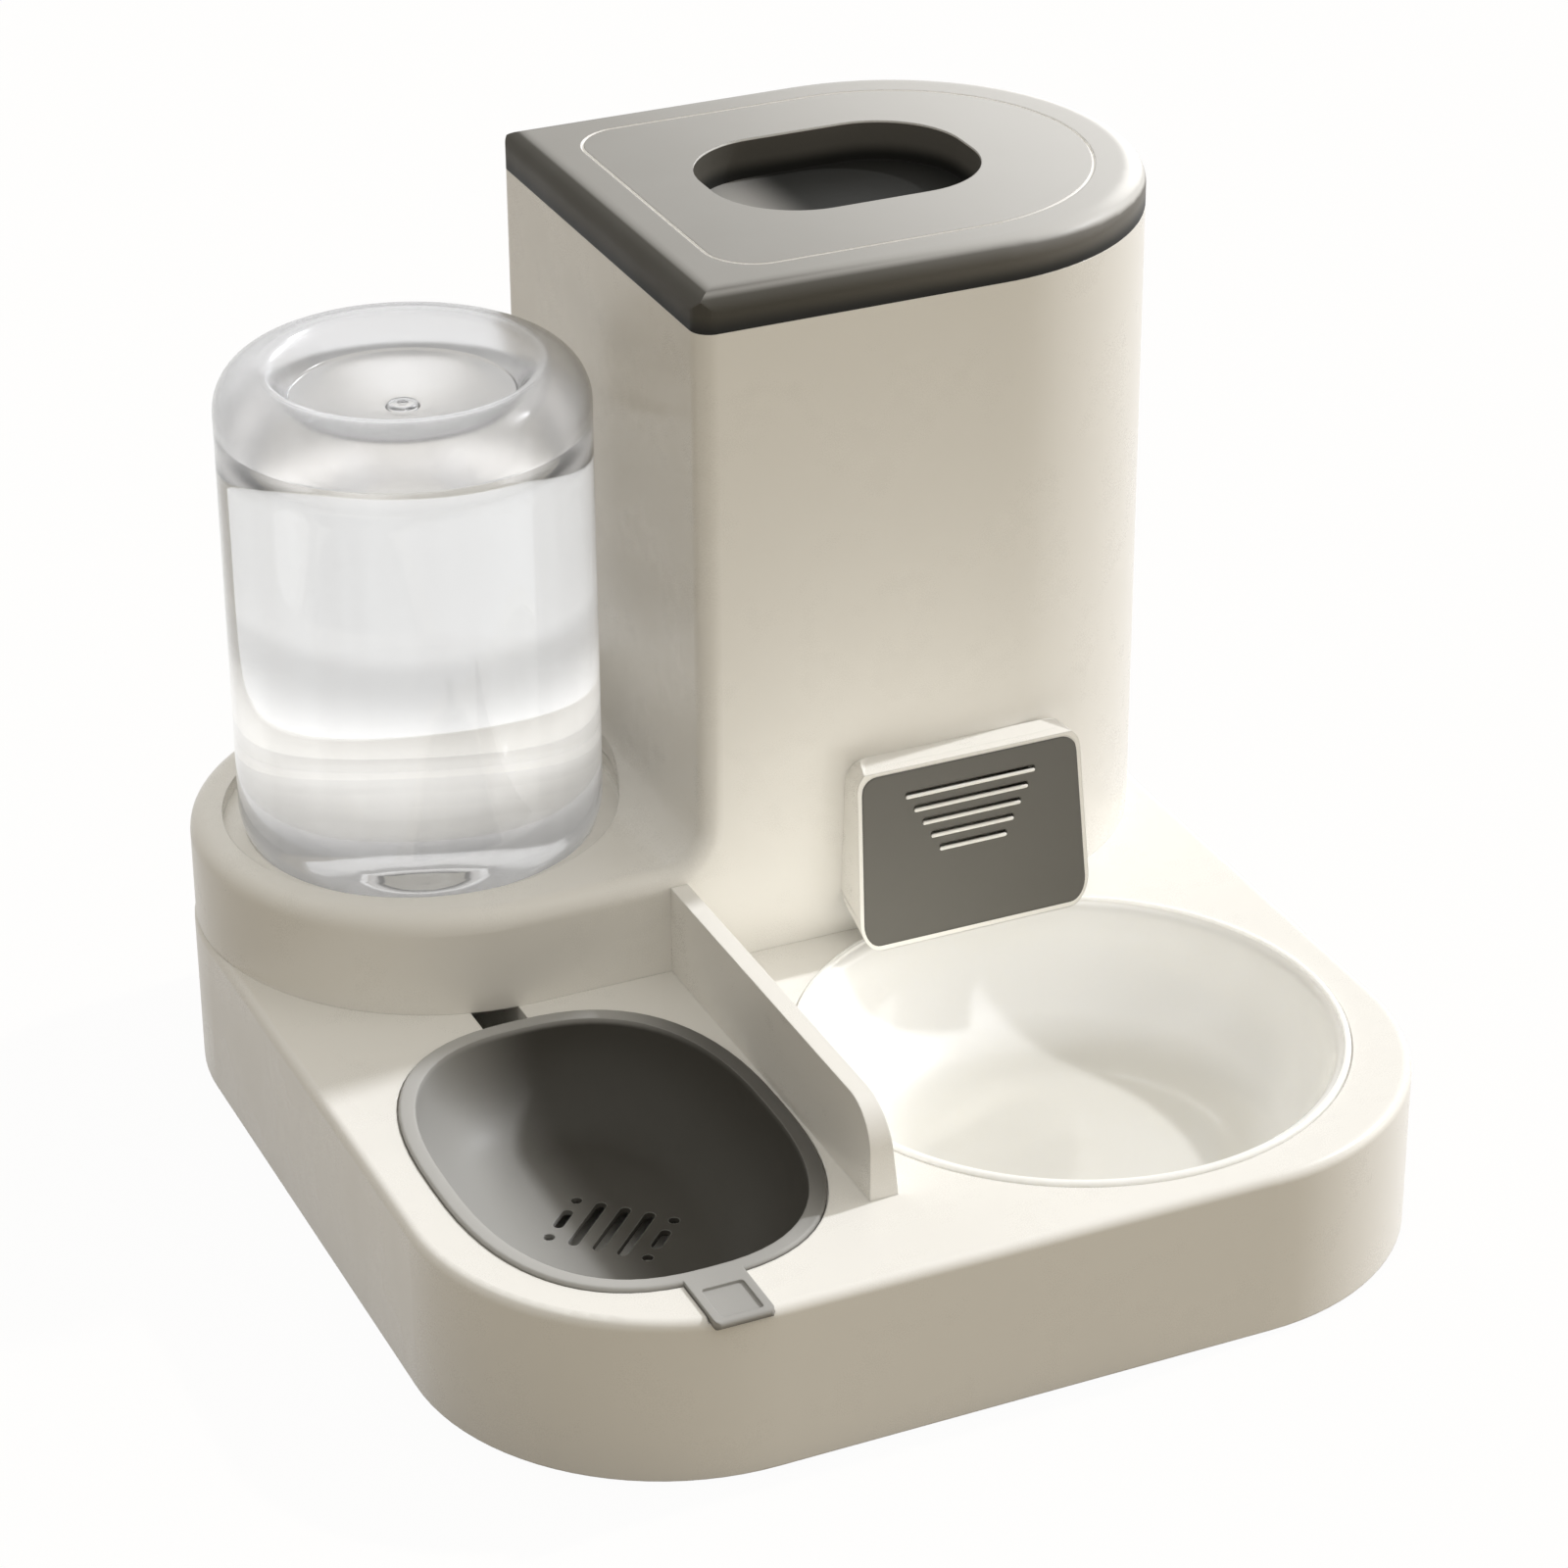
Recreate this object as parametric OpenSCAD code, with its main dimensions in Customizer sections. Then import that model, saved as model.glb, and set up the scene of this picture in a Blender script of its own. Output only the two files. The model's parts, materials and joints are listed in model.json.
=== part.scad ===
// Pet food and water dispenser. A low tray carries a round food bowl and an oval water bowl.
// Behind them one moulded housing holds an inverted water bottle and a D-shaped food bin with a lid.
// Millimetres. X runs to the right, Y to the back and Z up from the table, under the middle.

/* [Tray] */
// Width of the tray
base_w = 300; // [298:1:320]
// Corner radius of the tray in plan
corner_r = 75; // [70:1:76]
// Height of the deck above the table
deck_h = 52; // [50:1:60]
// Wall thickness of the tray
tray_wall = 2.6; // [2:0.1:3]
// Radius of the tray's top edge
tray_edge_r = 3; // [2:0.5:5]
// Rim of deck in front of the water bowl
front_rim = 19.7; // [17:0.1:30]
// Rim of deck to the right of the food bowl
side_rim = 11.4; // [10:0.1:14]
// Gap between a bowl's rim and the wall beside it
bowl_gap = 1; // [0.5:0.1:2]
// Deck between the water bowl and the housing
channel_gap = 8.1; // [6:0.1:14]
// Width of the water channel
channel_w = 14; // [10:0.5:20]
// Distance of the channel's middle from the water bowl's middle
channel_shift = 2.2; // [-4:0.1:6]

/* [Divider] */
// Thickness of the divider along its top
divider_top_t = 5.5; // [4:0.5:7]
// Thickness of the divider at the deck
divider_foot_t = 8.5; // [7:0.5:10]
// Height of the divider above the deck
divider_h = 28; // [20:1:32]
// Length of the divider in front of the housing
divider_len = 136; // [110:1:145]
// Radius of the divider's front top corner
divider_nose_r = 13; // [6:1:18]

/* [Food bowl] */
// Radius of the food bowl's rim
food_r = 80.2; // [78:0.2:81]
// Width of the rim's flat ring
food_rim_w = 5.4; // [4.8:0.1:6.5]
// Wall thickness of the food bowl
food_wall = 1.8; // [1.4:0.1:2]
// Radius of the arc between wall and floor
food_arc_r = 38; // [30:1:38]

/* [Water bowl] */
// Half width of the water bowl's rim
water_a = 52.2; // [48:0.2:54]
// Half depth of the water bowl's rim
water_b = 72.1; // [64:0.1:76]
// Squareness of the oval, where 2 is an ellipse
water_n = 2.55; // [2.2:0.05:3]
// Depth from the rim's top to the floor
water_bowl_h = 28.7; // [24:0.1:32]
// Width of the rolled rim
water_rim_w = 4.6; // [4.2:0.1:6]
// Wall thickness of the water bowl
water_wall = 1.8; // [1.4:0.1:2]
// Width of the curved wall in plan
water_slope_w = 24; // [18:1:30]
// Number of long drain slots
drain_slots = 3; // [1:1:5]
// Length of a long drain slot
drain_len = 23; // [12:1:30]
// Width of a drain slot
drain_w = 3.2; // [2:0.1:4]
// Distance between drain slots
drain_pitch = 7.4; // [6:0.1:9]

/* [Water bowl tab] */
// Width of the lifting tab
tab_w = 17; // [12:1:24]
// Thickness of the lifting tab
tab_t = 2.6; // [2:0.1:3]
// How far the tab stands out of the tray's front
tab_proud = 1.5; // [0:0.1:3]
// Width of the rim round the tab's finger recess
tab_rim_w = 2.4; // [1.5:0.1:4]
// Length of the tab's finger recess
tab_recess_len = 14; // [8:0.5:16]

/* [Housing] */
// Height of the bottle platform above the deck
platform_h = 32; // [30:1:40]
// Height of the food bin above the deck
bin_h = 199; // [160:1:240]
// Straight length of the food bin before its round end
bin_run = 95; // [86:1:100]
// Wall thickness of the housing
housing_wall = 2.6; // [2.2:0.1:3]
// Radius of the housing's outer edges
edge_r = 6; // [4:0.5:7]
// Radius of the cove between platform and bin
cove_r = 14; // [10:1:18]
// Step between the tray's wall and the housing's wall
housing_inset = 0.5; // [0.2:0.1:1.5]
// Slope of the bin's floor in degrees
floor_slope = 32; // [25:1:36]
// Slope of the floor's sides in degrees
side_slope = 29; // [20:1:36]

/* [Chute] */
// Width of the hood along its top
hood_w = 70; // [60:1:76]
// Extra width on each side at the hood's foot
hood_flare = 1.75; // [0:0.25:3]
// Height of the hood's top above the deck
hood_top_h = 57; // [50:1:64]
// Height of the hood's foot above the deck
hood_foot_h = 8; // [6:1:12]
// How far the hood's top stands out of the bin
hood_top_out = 10.7; // [8:0.1:14]
// How far the hood's foot stands out of the bin
hood_foot_out = 16.7; // [12:0.1:20]
// Distance of the hood's middle from the food bowl's middle
hood_shift = 1.6; // [0:0.1:4]
// Wall thickness of the hood
hood_wall = 1.7; // [1.4:0.1:2]
// Corner radius of the front plate
panel_r = 5; // [3:0.5:8]
// Thickness of the front plate
panel_t = 1.8; // [1.4:0.1:2]
// Number of slots in the front plate
panel_slots = 5; // [1:1:6]
// Length of the top slot
panel_slot_w = 41; // [30:1:50]
// How much shorter each slot is than the one above
panel_slot_step = 4.9; // [3:0.1:6]
// Distance between the slots
panel_slot_pitch = 4.6; // [4:0.1:6]
// Height of a slot
panel_slot_h = 1.7; // [1:0.1:2.4]

/* [Bottle] */
// Radius of the bottle
bottle_r = 54.5; // [50:0.5:55.5]
// Gap between the bottle and the food bin
bottle_gap = 6; // [5:0.5:8]
// Straight height of the bottle's wall
bottle_wall_h = 125; // [90:1:160]
// Height of the bottle's shoulder
shoulder_h = 26; // [22:1:27]
// Height of the rounding at the bottle's base
heel_h = 13.5; // [10:0.5:18]
// Wall thickness of the bottle
bottle_wall = 1.2; // [0.8:0.1:2]
// Outer radius of the bottle's neck
neck_r = 15; // [13:0.5:16]
// Gap round the bottle in its seat
seat_gap = 4.9; // [4:0.1:6]

/* [Bottle cap and valve] */
// Wall thickness of the cap
cap_wall = 2.4; // [2:0.1:3]
// Height of the cap
cap_h = 18; // [16:1:20]
// Number of grip ribs round the cap
cap_ribs = 24; // [12:1:30]
// Depth of water in the bowl when the bottle's mouth is just covered
water_depth = 15.5; // [12:0.5:18]
// Radius of the valve stem
stem_r = 2.5; // [2:0.1:3]
// How far the seated bottle's valve is held open
valve_lift = 4; // [3:0.5:5]
// Further free travel of the valve
valve_travel = 2; // [1:0.5:2.5]
// Turns of the valve spring
spring_turns = 4; // [3:1:5]

/* [Lid] */
// Height of the lid's upright edge
lid_skirt_h = 6; // [4:0.5:9]
// Height of the lid's bevel
lid_bevel_h = 5.5; // [4:0.5:8]
// Width of the lid's bevel
lid_bevel_w = 8; // [6:0.5:12]
// Length of the finger recess
recess_w = 84; // [60:1:90]
// Width of the finger recess
recess_d = 62; // [44:1:70]
// Depth of the finger recess
recess_h = 12.5; // [6:0.5:14]
// Corner radius of the finger recess
recess_r = 27; // [10:1:30]
// Depth of the lid's plug in the bin
plug_h = 10; // [8:0.5:14]

/* [Feet and screws] */
// Radius of a foot
foot_r = 6.5; // [5:0.5:7]
// Thickness of a foot
foot_t = 3; // [2.5:0.1:4]
// Height that a foot stands out of the tray
foot_out = 1.5; // [1:0.1:2]
// Radius of a screw's shank
screw_r = 1.6; // [1.2:0.1:2]
// Length of a screw's shank
screw_len = 12; // [10:1:14]

/* [Hidden] */
$fn = 96;

CREAM = [0.93, 0.91, 0.86];
BOWL_WHITE = [0.94, 0.94, 0.91];
WATER_GREY = [0.55, 0.55, 0.53];
LID_GREY = [0.63, 0.62, 0.60];
PANEL_GREY = [0.42, 0.41, 0.37];
CLEAR = [0.86, 0.90, 0.92, 0.35];
SILICONE = [0.80, 0.80, 0.78];
RUBBER = [0.25, 0.25, 0.25];
STEEL = [0.70, 0.70, 0.72];

// Clearance of pieces that sit in one another
fit = 0.3;
// Clearance of the stem in its guide
running = 0.08;
// Overlap of a cut past the face that it opens
over = 1;

// Tray and housing in plan. Bowls that take more than the tray's room for them widen and deepen it.
bowls_room = 286.7;
bowls_w = 2 * water_a + divider_foot_t + 2 * food_r + 2 * bowl_gap + side_rim;
tray_w = base_w + max(0, bowls_w - bowls_room);
housing_r = corner_r - housing_inset;
food_front_rim = 10;
bowls_d = max(front_rim + 2 * water_b + channel_gap, food_front_rim + 2 * food_r + bowl_gap);
base_d = bowls_d + 2 * housing_r + housing_inset;
base_y = tab_proud / 2;
base_front = base_y - base_d / 2;
base_back = base_y + base_d / 2;
housing_y = base_back - corner_r;
housing_front = housing_y - housing_r;
left_x = -tray_w / 2 + corner_r;
right_x = tray_w / 2 - corner_r;
bin_left = right_x - bin_run;

// Bowls and divider in plan
food_x = tray_w / 2 - side_rim - food_r;
food_y = housing_front - bowl_gap - food_r;
divider_right = food_x - food_r - bowl_gap;
divider_left = divider_right - divider_foot_t;
water_x = divider_left - bowl_gap - water_a;
water_y = base_front + front_rim + water_b;
channel_x = water_x - channel_shift;

// Levels
deck_z = deck_h;
platform_z = deck_z + platform_h;
bin_z = deck_z + bin_h;
lid_z = bin_z + lid_skirt_h + lid_bevel_h;

// Rims of the two bowls lie in rebates of the deck
rim_proud = 1.2;
rim_t = 2.4;
rim_z = deck_z + rim_proud;
rebate_z = rim_z - rim_t;
rebate_gap = 0.4;
food_inner_r = food_r - food_rim_w;
food_well_r = food_inner_r + food_wall + rebate_gap;
food_lip_h = 1.2;
food_floor_z = rim_z - food_arc_r - food_lip_h;
foot_ring_h = 1.5;
food_well_z = food_floor_z - food_wall - foot_ring_h - fit;
water_floor_z = rim_z - water_bowl_h;
water_well_in = water_rim_w - water_wall - rebate_gap;
well_under_bowl = 10;
water_well_z = water_floor_z - water_wall - well_under_bowl;

// Rings of the water bowl as [inset, z]: from the underside of its floor out and up, and back down inside
water_rim_r = 0.9;
water_rim_dip = 0.4;
water_outside = [for (i = [0:8]) let (a = 90 * i / 8)
    [water_rim_w - water_wall + water_slope_w * (1 - sin(a)),
     water_floor_z - water_wall + (rebate_z - water_floor_z + water_wall) * (1 - cos(a))]];
water_rim = concat(
    [[0, rebate_z]],
    [for (i = [0:3]) let (a = 30 * i)
        [water_rim_r * (1 - cos(a)), rim_z - water_rim_r * (1 - sin(a))]],
    [[water_rim_w - 1, rim_z]]);
water_inside = [for (i = [0:10]) let (a = 90 * i / 10)
    [water_rim_w + water_slope_w * (1 - cos(a)),
     rim_z - water_rim_dip - (water_bowl_h - water_rim_dip) * sin(a)]];
water_stack = concat(water_outside, water_rim, water_inside);

// Bottle and valve
bottle_x = bin_left - bottle_gap - bottle_r;
bottle_y = housing_y;
water_z = water_floor_z + water_depth;
cap_plate_t = 2.5;
gasket_t = 1.5;
mouth_z = water_z + cap_plate_t + gasket_t;
shoulder_rise = 4;
wall_z = platform_z + shoulder_rise;
shoulder_z = wall_z - shoulder_h;
wall_top_z = wall_z + bottle_wall_h;
bottle_top_z = wall_top_z + heel_h;
cap_fit = 0.2;
cap_in_r = neck_r + cap_fit;
cap_r = cap_in_r + cap_wall;
rib_r = 0.7;
port_r = 7.5;
guide_wall = 1;
retainer_h = 2;
spring_gap = 7;
guide_spare = 1.5;
guide_h = spring_gap - valve_travel - guide_spare;
retainer_z = water_z - spring_gap - retainer_h;
spring_wire_r = 0.45;
spring_r = stem_r + running + guide_wall + fit + spring_wire_r;
retainer_r = spring_r + spring_wire_r + 0.6;
seal_t = 1.6;
seal_lap = 2;
seal_r = port_r + seal_lap;
seal_z = water_z + cap_plate_t + valve_lift;

// Bottle seat in the platform, and the sump below it
seat_r = bottle_r + seat_gap;
seat_depth = 4;
seat_z = platform_z - seat_depth;
collar_gap = 1.5;
collar_r = cap_r + rib_r + collar_gap;
collar_lift = 3;
collar_z = deck_z + collar_lift;
sump_r = 34;
post_h = 5;
sump_z = retainer_z - post_h;
channel_z = sump_z;

// Chute
hood_x = food_x + hood_shift;
hood_top_z = deck_z + hood_top_h;
hood_foot_z = deck_z + hood_foot_h;
hood_drop = 1.5;
hood_rise = 6.5;
hood_lean_h = hood_top_z - hood_drop - hood_foot_z;
hood_lean = atan((hood_foot_out - hood_top_out) / hood_lean_h);
hood_corner_r = panel_r + hood_wall;
front_wall = panel_t + 1.6;
panel_sink = 0.6;
panel_h = hood_lean_h / cos(hood_lean) - 2 * hood_wall;
mouth_side = 3;
mouth_foot = 3.5;
mouth_top = 7;
mouth_w = hood_w - 2 * mouth_side;
sill_z = hood_foot_z + hood_rise + mouth_foot;
mouth_h = hood_top_z - mouth_top - sill_z;
mouth_r = 4;

// Floor of the bin
floor_t = 2.2;
floor_front = housing_front + housing_wall + fit;
floor_drop = floor_t / cos(floor_slope);
side_drop = floor_t / cos(side_slope);
function floor_height(y) = sill_z + floor_drop + (y - floor_front) * tan(floor_slope);

// Lid
lid_wall = 2.4;
plug_gap = 0.6;
plug_wall = 2;
seal_groove = 1.2;
seal_ring_h = 2.6;
seal_ring_up = 2.5;
seal_ring_z = bin_z - plug_h + seal_ring_up;
line_inset = 15;
line_w = 1;
line_h = 0.5;
recess_in = 36.5;
recess_back = 3;
recess_x = bin_left + recess_in + recess_w / 2;
recess_y = housing_y + recess_back;

// Feet and screws
boss_wall = 2;
foot_in = 10;
foot_reach = corner_r - foot_in;
screw_boss_r = 4.5;
screw_head_r = 3.4;
screw_head_h = 2.2;
screw_turn = 20;
screw_in = 4;
screw_reach = housing_r - housing_wall - screw_in;
screw_spare = 1;
screw_tip_gap = 4;
boss_top_z = deck_z + screw_len + screw_tip_gap;

// Helpers: outlines

// A rectangle with true arcs at its corners
module rounded_rect(w, d, r) {
    square([w - 2 * r, d], center = true);
    square([w, d - 2 * r], center = true);
    for (sx = [-1, 1], sy = [-1, 1])
        translate([sx * (w / 2 - r), sy * (d / 2 - r)]) circle(r);
}

// Points of an arc from angle a0 to a1
function arc_points(cx, cy, r, a0, a1, n = 8) =
    [for (i = [0:n]) let (a = a0 + (a1 - a0) * i / n) [cx + r * cos(a), cy + r * sin(a)]];

// Points of an elliptic quarter, from the side (r, 0) to the top (0, h)
function quarter_points(r, h, n = 8) =
    [for (i = [0:n]) let (a = 90 * i / n) [r * cos(a), h * sin(a)]];

// An upright trapezoid with rounded corners: half width w0 at height z0 and w1 at height z1
function trapezoid_points(w0, z0, w1, z1, r) =
    let (lean = atan((w0 - w1) / (z1 - z0)),
         // Distance from a corner to its arc's centre, along the level edge
         foot_in = r * tan(45 + lean / 2),
         top_in = r * tan(45 - lean / 2))
    concat(
        arc_points(w0 - foot_in, z0 + r, r, -90, lean),
        arc_points(w1 - top_in, z1 - r, r, lean, 90),
        arc_points(top_in - w1, z1 - r, r, 90, 180 - lean),
        arc_points(foot_in - w0, z0 + r, r, 180 - lean, 270));

// Points of an oval whose squareness is n
function oval_points(a, b, n, steps = 72) =
    [for (i = [0:steps - 1]) let (t = 360 * i / steps, c = cos(t), s = sin(t))
        [a * sign(c) * pow(abs(c), 2 / n), b * sign(s) * pow(abs(s), 2 / n)]];

// Plan of the water bowl's rim, grown by grow
module water_outline(grow) {
    polygon(oval_points(water_a + grow, water_b + grow, water_n));
}

// Plan of the food bin, drawn in by inset: flat on the left and round on the right
module bin_outline(inset = 0, r = edge_r) {
    corner = max(r - inset, 0.5);
    left = bin_left + inset;
    half = housing_r - inset;
    translate([left, housing_y - half + corner]) square([right_x - left, 2 * (half - corner)]);
    translate([left + corner, housing_y - half]) square([right_x - left - corner, 2 * half]);
    for (s = [-1, 1])
        translate([left + corner, housing_y + s * (half - corner)]) circle(corner);
    translate([right_x, housing_y]) circle(half);
}

// Helpers: solids

// Extrudes an outline drawn in X and Z towards the back, from y0 to y1
module extrude_back(y0, y1) {
    translate([0, y1, 0]) rotate([90, 0, 0]) linear_extrude(y1 - y0) children();
}

// Extrudes an outline drawn in Y and Z to the right, from x0 to x1
module extrude_right(x0, x1) {
    translate([x0, 0, 0]) rotate([90, 0, 90]) linear_extrude(x1 - x0) children();
}

// Section of a wall of radius r and height h whose outer top edge is rounded by e
module edge_section(r, h, e) {
    square([r, h - e]);
    square([r - e, h]);
    translate([r - e, h - e]) circle(e);
}

// A slab with round corners in plan and a rounded top edge, standing on z = 0
module soft_slab(w, d, r, h, e) {
    for (turn = [0:3]) {
        long = turn % 2 == 0 ? d - 2 * r : w - 2 * r;
        out = turn % 2 == 0 ? w / 2 - r : d / 2 - r;
        rotate(90 * turn) translate([out, long / 2]) {
            rotate_extrude(angle = 90) edge_section(r, h, e);
            rotate([90, 0, 0]) linear_extrude(long) edge_section(r, h, e);
        }
    }
    translate([r - w / 2, r - d / 2]) cube([w - 2 * r, d - 2 * r, h]);
}

// A solid through a stack of ovals, each given as [inset, z]
module oval_loft(stack, a, b, n, steps = 72) {
    rings = [for (s = stack) [for (p = oval_points(a - s[0], b - s[0], n, steps)) [p[0], p[1], s[1]]]];
    last = len(rings) - 1;
    sides = [for (k = [0:last - 1], i = [0:steps - 1]) let (j = (i + 1) % steps)
        each [[k * steps + i, (k + 1) * steps + i, (k + 1) * steps + j],
              [k * steps + i, (k + 1) * steps + j, k * steps + j]]];
    first_cap = [for (i = [0:steps - 1]) i];
    last_cap = [for (i = [steps - 1:-1:0]) last * steps + i];
    polyhedron([for (ring = rings) each ring], concat(sides, [first_cap, last_cap]));
}

// Places a thing at one corner of the tray, given by the signs of its X and Y
module at_foot(sx, sy) {
    translate([sx * (tray_w / 2 - corner_r + foot_reach * cos(45)),
               base_y + sy * (base_d / 2 - corner_r + foot_reach * sin(45))]) children();
}

// Places a thing at each of the four screws, beside the housing's round ends
module at_screws() {
    for (sx = [-1, 1], sy = [-1, 1])
        translate([sx * (right_x + screw_reach * cos(screw_turn)),
                   housing_y + sy * screw_reach * sin(screw_turn)]) children();
}

// Tray

module tray_shell() {
    lift = foot_out;
    difference() {
        translate([0, base_y, lift])
            soft_slab(tray_w, base_d, corner_r, deck_z - lift, tray_edge_r);
        translate([0, base_y, lift - over])
            soft_slab(tray_w - 2 * tray_wall, base_d - 2 * tray_wall, corner_r - tray_wall,
                      deck_z - tray_wall - lift + over, tray_edge_r / 2);
    }
}

// A well's outside runs from its floor up into the deck
module tray_wells() {
    under = deck_z - tray_wall / 2;
    translate([food_x, food_y, food_well_z - tray_wall])
        cylinder(r = food_well_r + tray_wall, h = under - food_well_z + tray_wall);
    translate([water_x, water_y, water_well_z - tray_wall])
        linear_extrude(under - water_well_z + tray_wall)
            water_outline(tray_wall - water_well_in);
    translate([bottle_x, bottle_y, sump_z - tray_wall])
        cylinder(r = sump_r + tray_wall, h = under - sump_z + tray_wall);
    translate([channel_x - channel_w / 2 - tray_wall, water_y, channel_z - tray_wall])
        cube([channel_w + 2 * tray_wall, bottle_y - water_y, under - channel_z + tray_wall]);
}

module tray_bosses() {
    for (sx = [-1, 1], sy = [-1, 1])
        at_foot(sx, sy) translate([0, 0, foot_out])
            cylinder(r = foot_r + boss_wall, h = deck_z - tray_wall / 2 - foot_out);
    at_screws() translate([0, 0, deck_z - tray_wall - screw_head_h])
        cylinder(r = screw_head_r + boss_wall, h = tray_wall / 2 + screw_head_h);
}

// Hollows of the wells, the bowls' rebates, the tab's notch and the holes for feet and screws
module tray_cuts() {
    translate([food_x, food_y]) {
        translate([0, 0, food_well_z]) cylinder(r = food_well_r, h = deck_z - food_well_z + over);
        translate([0, 0, rebate_z]) cylinder(r = food_r + rebate_gap, h = rim_t + over);
    }
    translate([water_x, water_y]) {
        translate([0, 0, water_well_z]) linear_extrude(deck_z - water_well_z + over)
            water_outline(-water_well_in);
        translate([0, 0, rebate_z]) linear_extrude(rim_t + over)
            water_outline(rebate_gap);
    }
    translate([bottle_x, bottle_y, sump_z]) cylinder(r = sump_r, h = deck_z - sump_z + over);
    translate([channel_x - channel_w / 2, water_y, channel_z])
        cube([channel_w, bottle_y - water_y, deck_z - channel_z + over]);
    translate([water_x - tab_w / 2 - rebate_gap, base_front - over, rim_z - tab_t])
        cube([tab_w + 2 * rebate_gap, water_y - base_front, tab_t + over]);
    for (sx = [-1, 1], sy = [-1, 1])
        at_foot(sx, sy) translate([0, 0, foot_out - over])
            cylinder(r = foot_r + fit / 2, h = foot_t - foot_out + over);
    at_screws() {
        translate([0, 0, deck_z - tray_wall - screw_head_h - over])
            cylinder(r = screw_head_r + fit, h = screw_head_h + over);
        cylinder(r = screw_r + fit, h = deck_z + over);
    }
}

// The wall between the bowls, with a leaning right-hand face and a round nose
module divider() {
    front = housing_front - divider_len;
    intersection() {
        extrude_back(front, housing_front)
            polygon([[divider_left, deck_z - tray_wall / 2],
                     [divider_right, deck_z - tray_wall / 2],
                     [divider_right, deck_z],
                     [divider_left + divider_top_t, deck_z + divider_h],
                     [divider_left, deck_z + divider_h]]);
        extrude_right(divider_left - over, divider_right + over) {
            translate([front, deck_z - tray_wall])
                square([divider_len, divider_h + tray_wall - divider_nose_r]);
            translate([front + divider_nose_r, deck_z - tray_wall])
                square([divider_len - divider_nose_r, divider_h + tray_wall]);
            translate([front + divider_nose_r, deck_z + divider_h - divider_nose_r])
                circle(divider_nose_r);
        }
    }
}

// The pin in the sump that holds the seated bottle's valve open
module valve_post() {
    post_r = stem_r + 0.7;
    translate([bottle_x, bottle_y, sump_z - tray_wall / 2])
        cylinder(r = post_r, h = retainer_z - sump_z + tray_wall / 2);
}

module base_tray() {
    color(CREAM) {
        difference() {
            union() {
                tray_shell();
                tray_wells();
                tray_bosses();
            }
            tray_cuts();
        }
        divider();
        valve_post();
    }
}

module foot(sx, sy) {
    color(RUBBER) at_foot(sx, sy) {
        cylinder(r1 = foot_r - 0.6, r2 = foot_r, h = 0.6);
        translate([0, 0, 0.6]) cylinder(r = foot_r, h = foot_t - 0.6);
    }
}

module foot_front_left() { foot(-1, -1); }

module foot_front_right() { foot(1, -1); }

module foot_back_left() { foot(-1, 1); }

module foot_back_right() { foot(1, 1); }

// Bowls

// Everything inside one skin of the food bowl, drawn in by inset
module food_skin(inset) {
    arc_x = food_inner_r - food_arc_r;
    arc_z = food_floor_z + food_arc_r;
    low = food_floor_z - inset;
    translate([0, low]) square([arc_x, rim_z - low]);
    translate([0, arc_z]) square([food_inner_r + inset, rim_z - arc_z]);
    intersection() {
        translate([arc_x, arc_z]) circle(food_arc_r + inset);
        translate([0, low]) square([food_r, arc_z - low]);
    }
}

module food_bowl() {
    lip_r = 1;
    ring_r = 30;
    color(BOWL_WHITE) translate([food_x, food_y]) rotate_extrude() {
        difference() {
            union() {
                food_skin(food_wall);
                translate([food_inner_r, rebate_z]) square([food_rim_w - lip_r, rim_t]);
                translate([food_inner_r, rebate_z]) square([food_rim_w, rim_t - lip_r]);
                translate([food_r - lip_r, rim_z - lip_r]) circle(lip_r);
            }
            food_skin(0);
            translate([0, rim_z]) square([food_r, over]);
        }
        translate([ring_r, food_floor_z - food_wall - foot_ring_h])
            square([food_wall, foot_ring_h + food_wall / 2]);
    }
}

// Slots run diagonally, with a short slot and two round holes on either side
module drain_pattern() {
    side_x = (drain_slots + 1) / 2 * drain_pitch;
    short_share = 0.42;
    short = drain_len * short_share;
    drain_turn = -45;
    rotate(drain_turn) {
        for (i = [0:drain_slots - 1])
            translate([(i - (drain_slots - 1) / 2) * drain_pitch, 0]) slot(drain_w, drain_len);
        for (s = [-1, 1]) {
            translate([s * side_x, 0]) slot(drain_w, short);
            for (e = [-1, 1]) translate([s * side_x, e * (drain_len - drain_w) / 2]) circle(drain_w / 2);
        }
    }
}

// An upright slot of overall length l
module slot(w, l) {
    square([w, l - w], center = true);
    for (s = [-1, 1]) translate([0, s * (l - w) / 2]) circle(w / 2);
}

// A tongue with round front corners, a rounded front edge and a shallow finger recess
module water_tab() {
    corner = 2;
    nose_r = tab_t / 2;
    recess_depth = 0.8;
    front = base_front - tab_proud;
    back = water_y - water_b + water_rim_w / 2;
    difference() {
        intersection() {
            translate([0, 0, rim_z - tab_t]) linear_extrude(tab_t) union() {
                translate([water_x - tab_w / 2, front + corner]) square([tab_w, back - front - corner]);
                translate([water_x, front + 2 * corner]) rounded_rect(tab_w, 4 * corner, corner);
            }
            extrude_right(water_x - tab_w, water_x + tab_w) {
                translate([front + nose_r, rim_z - tab_t]) square([back - front, tab_t]);
                translate([front + nose_r, rim_z - nose_r]) circle(nose_r);
            }
        }
        translate([water_x, front + tab_rim_w + tab_recess_len / 2, rim_z - recess_depth])
            linear_extrude(recess_depth + over)
                rounded_rect(tab_w - 2 * tab_rim_w, tab_recess_len, corner / 2);
    }
}

module water_bowl() {
    color(WATER_GREY) {
        difference() {
            translate([water_x, water_y]) oval_loft(water_stack, water_a, water_b, water_n);
            translate([water_x, water_y, water_floor_z - water_wall - over])
                linear_extrude(water_wall + 2 * over) drain_pattern();
        }
        water_tab();
    }
}

// Housing

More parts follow.
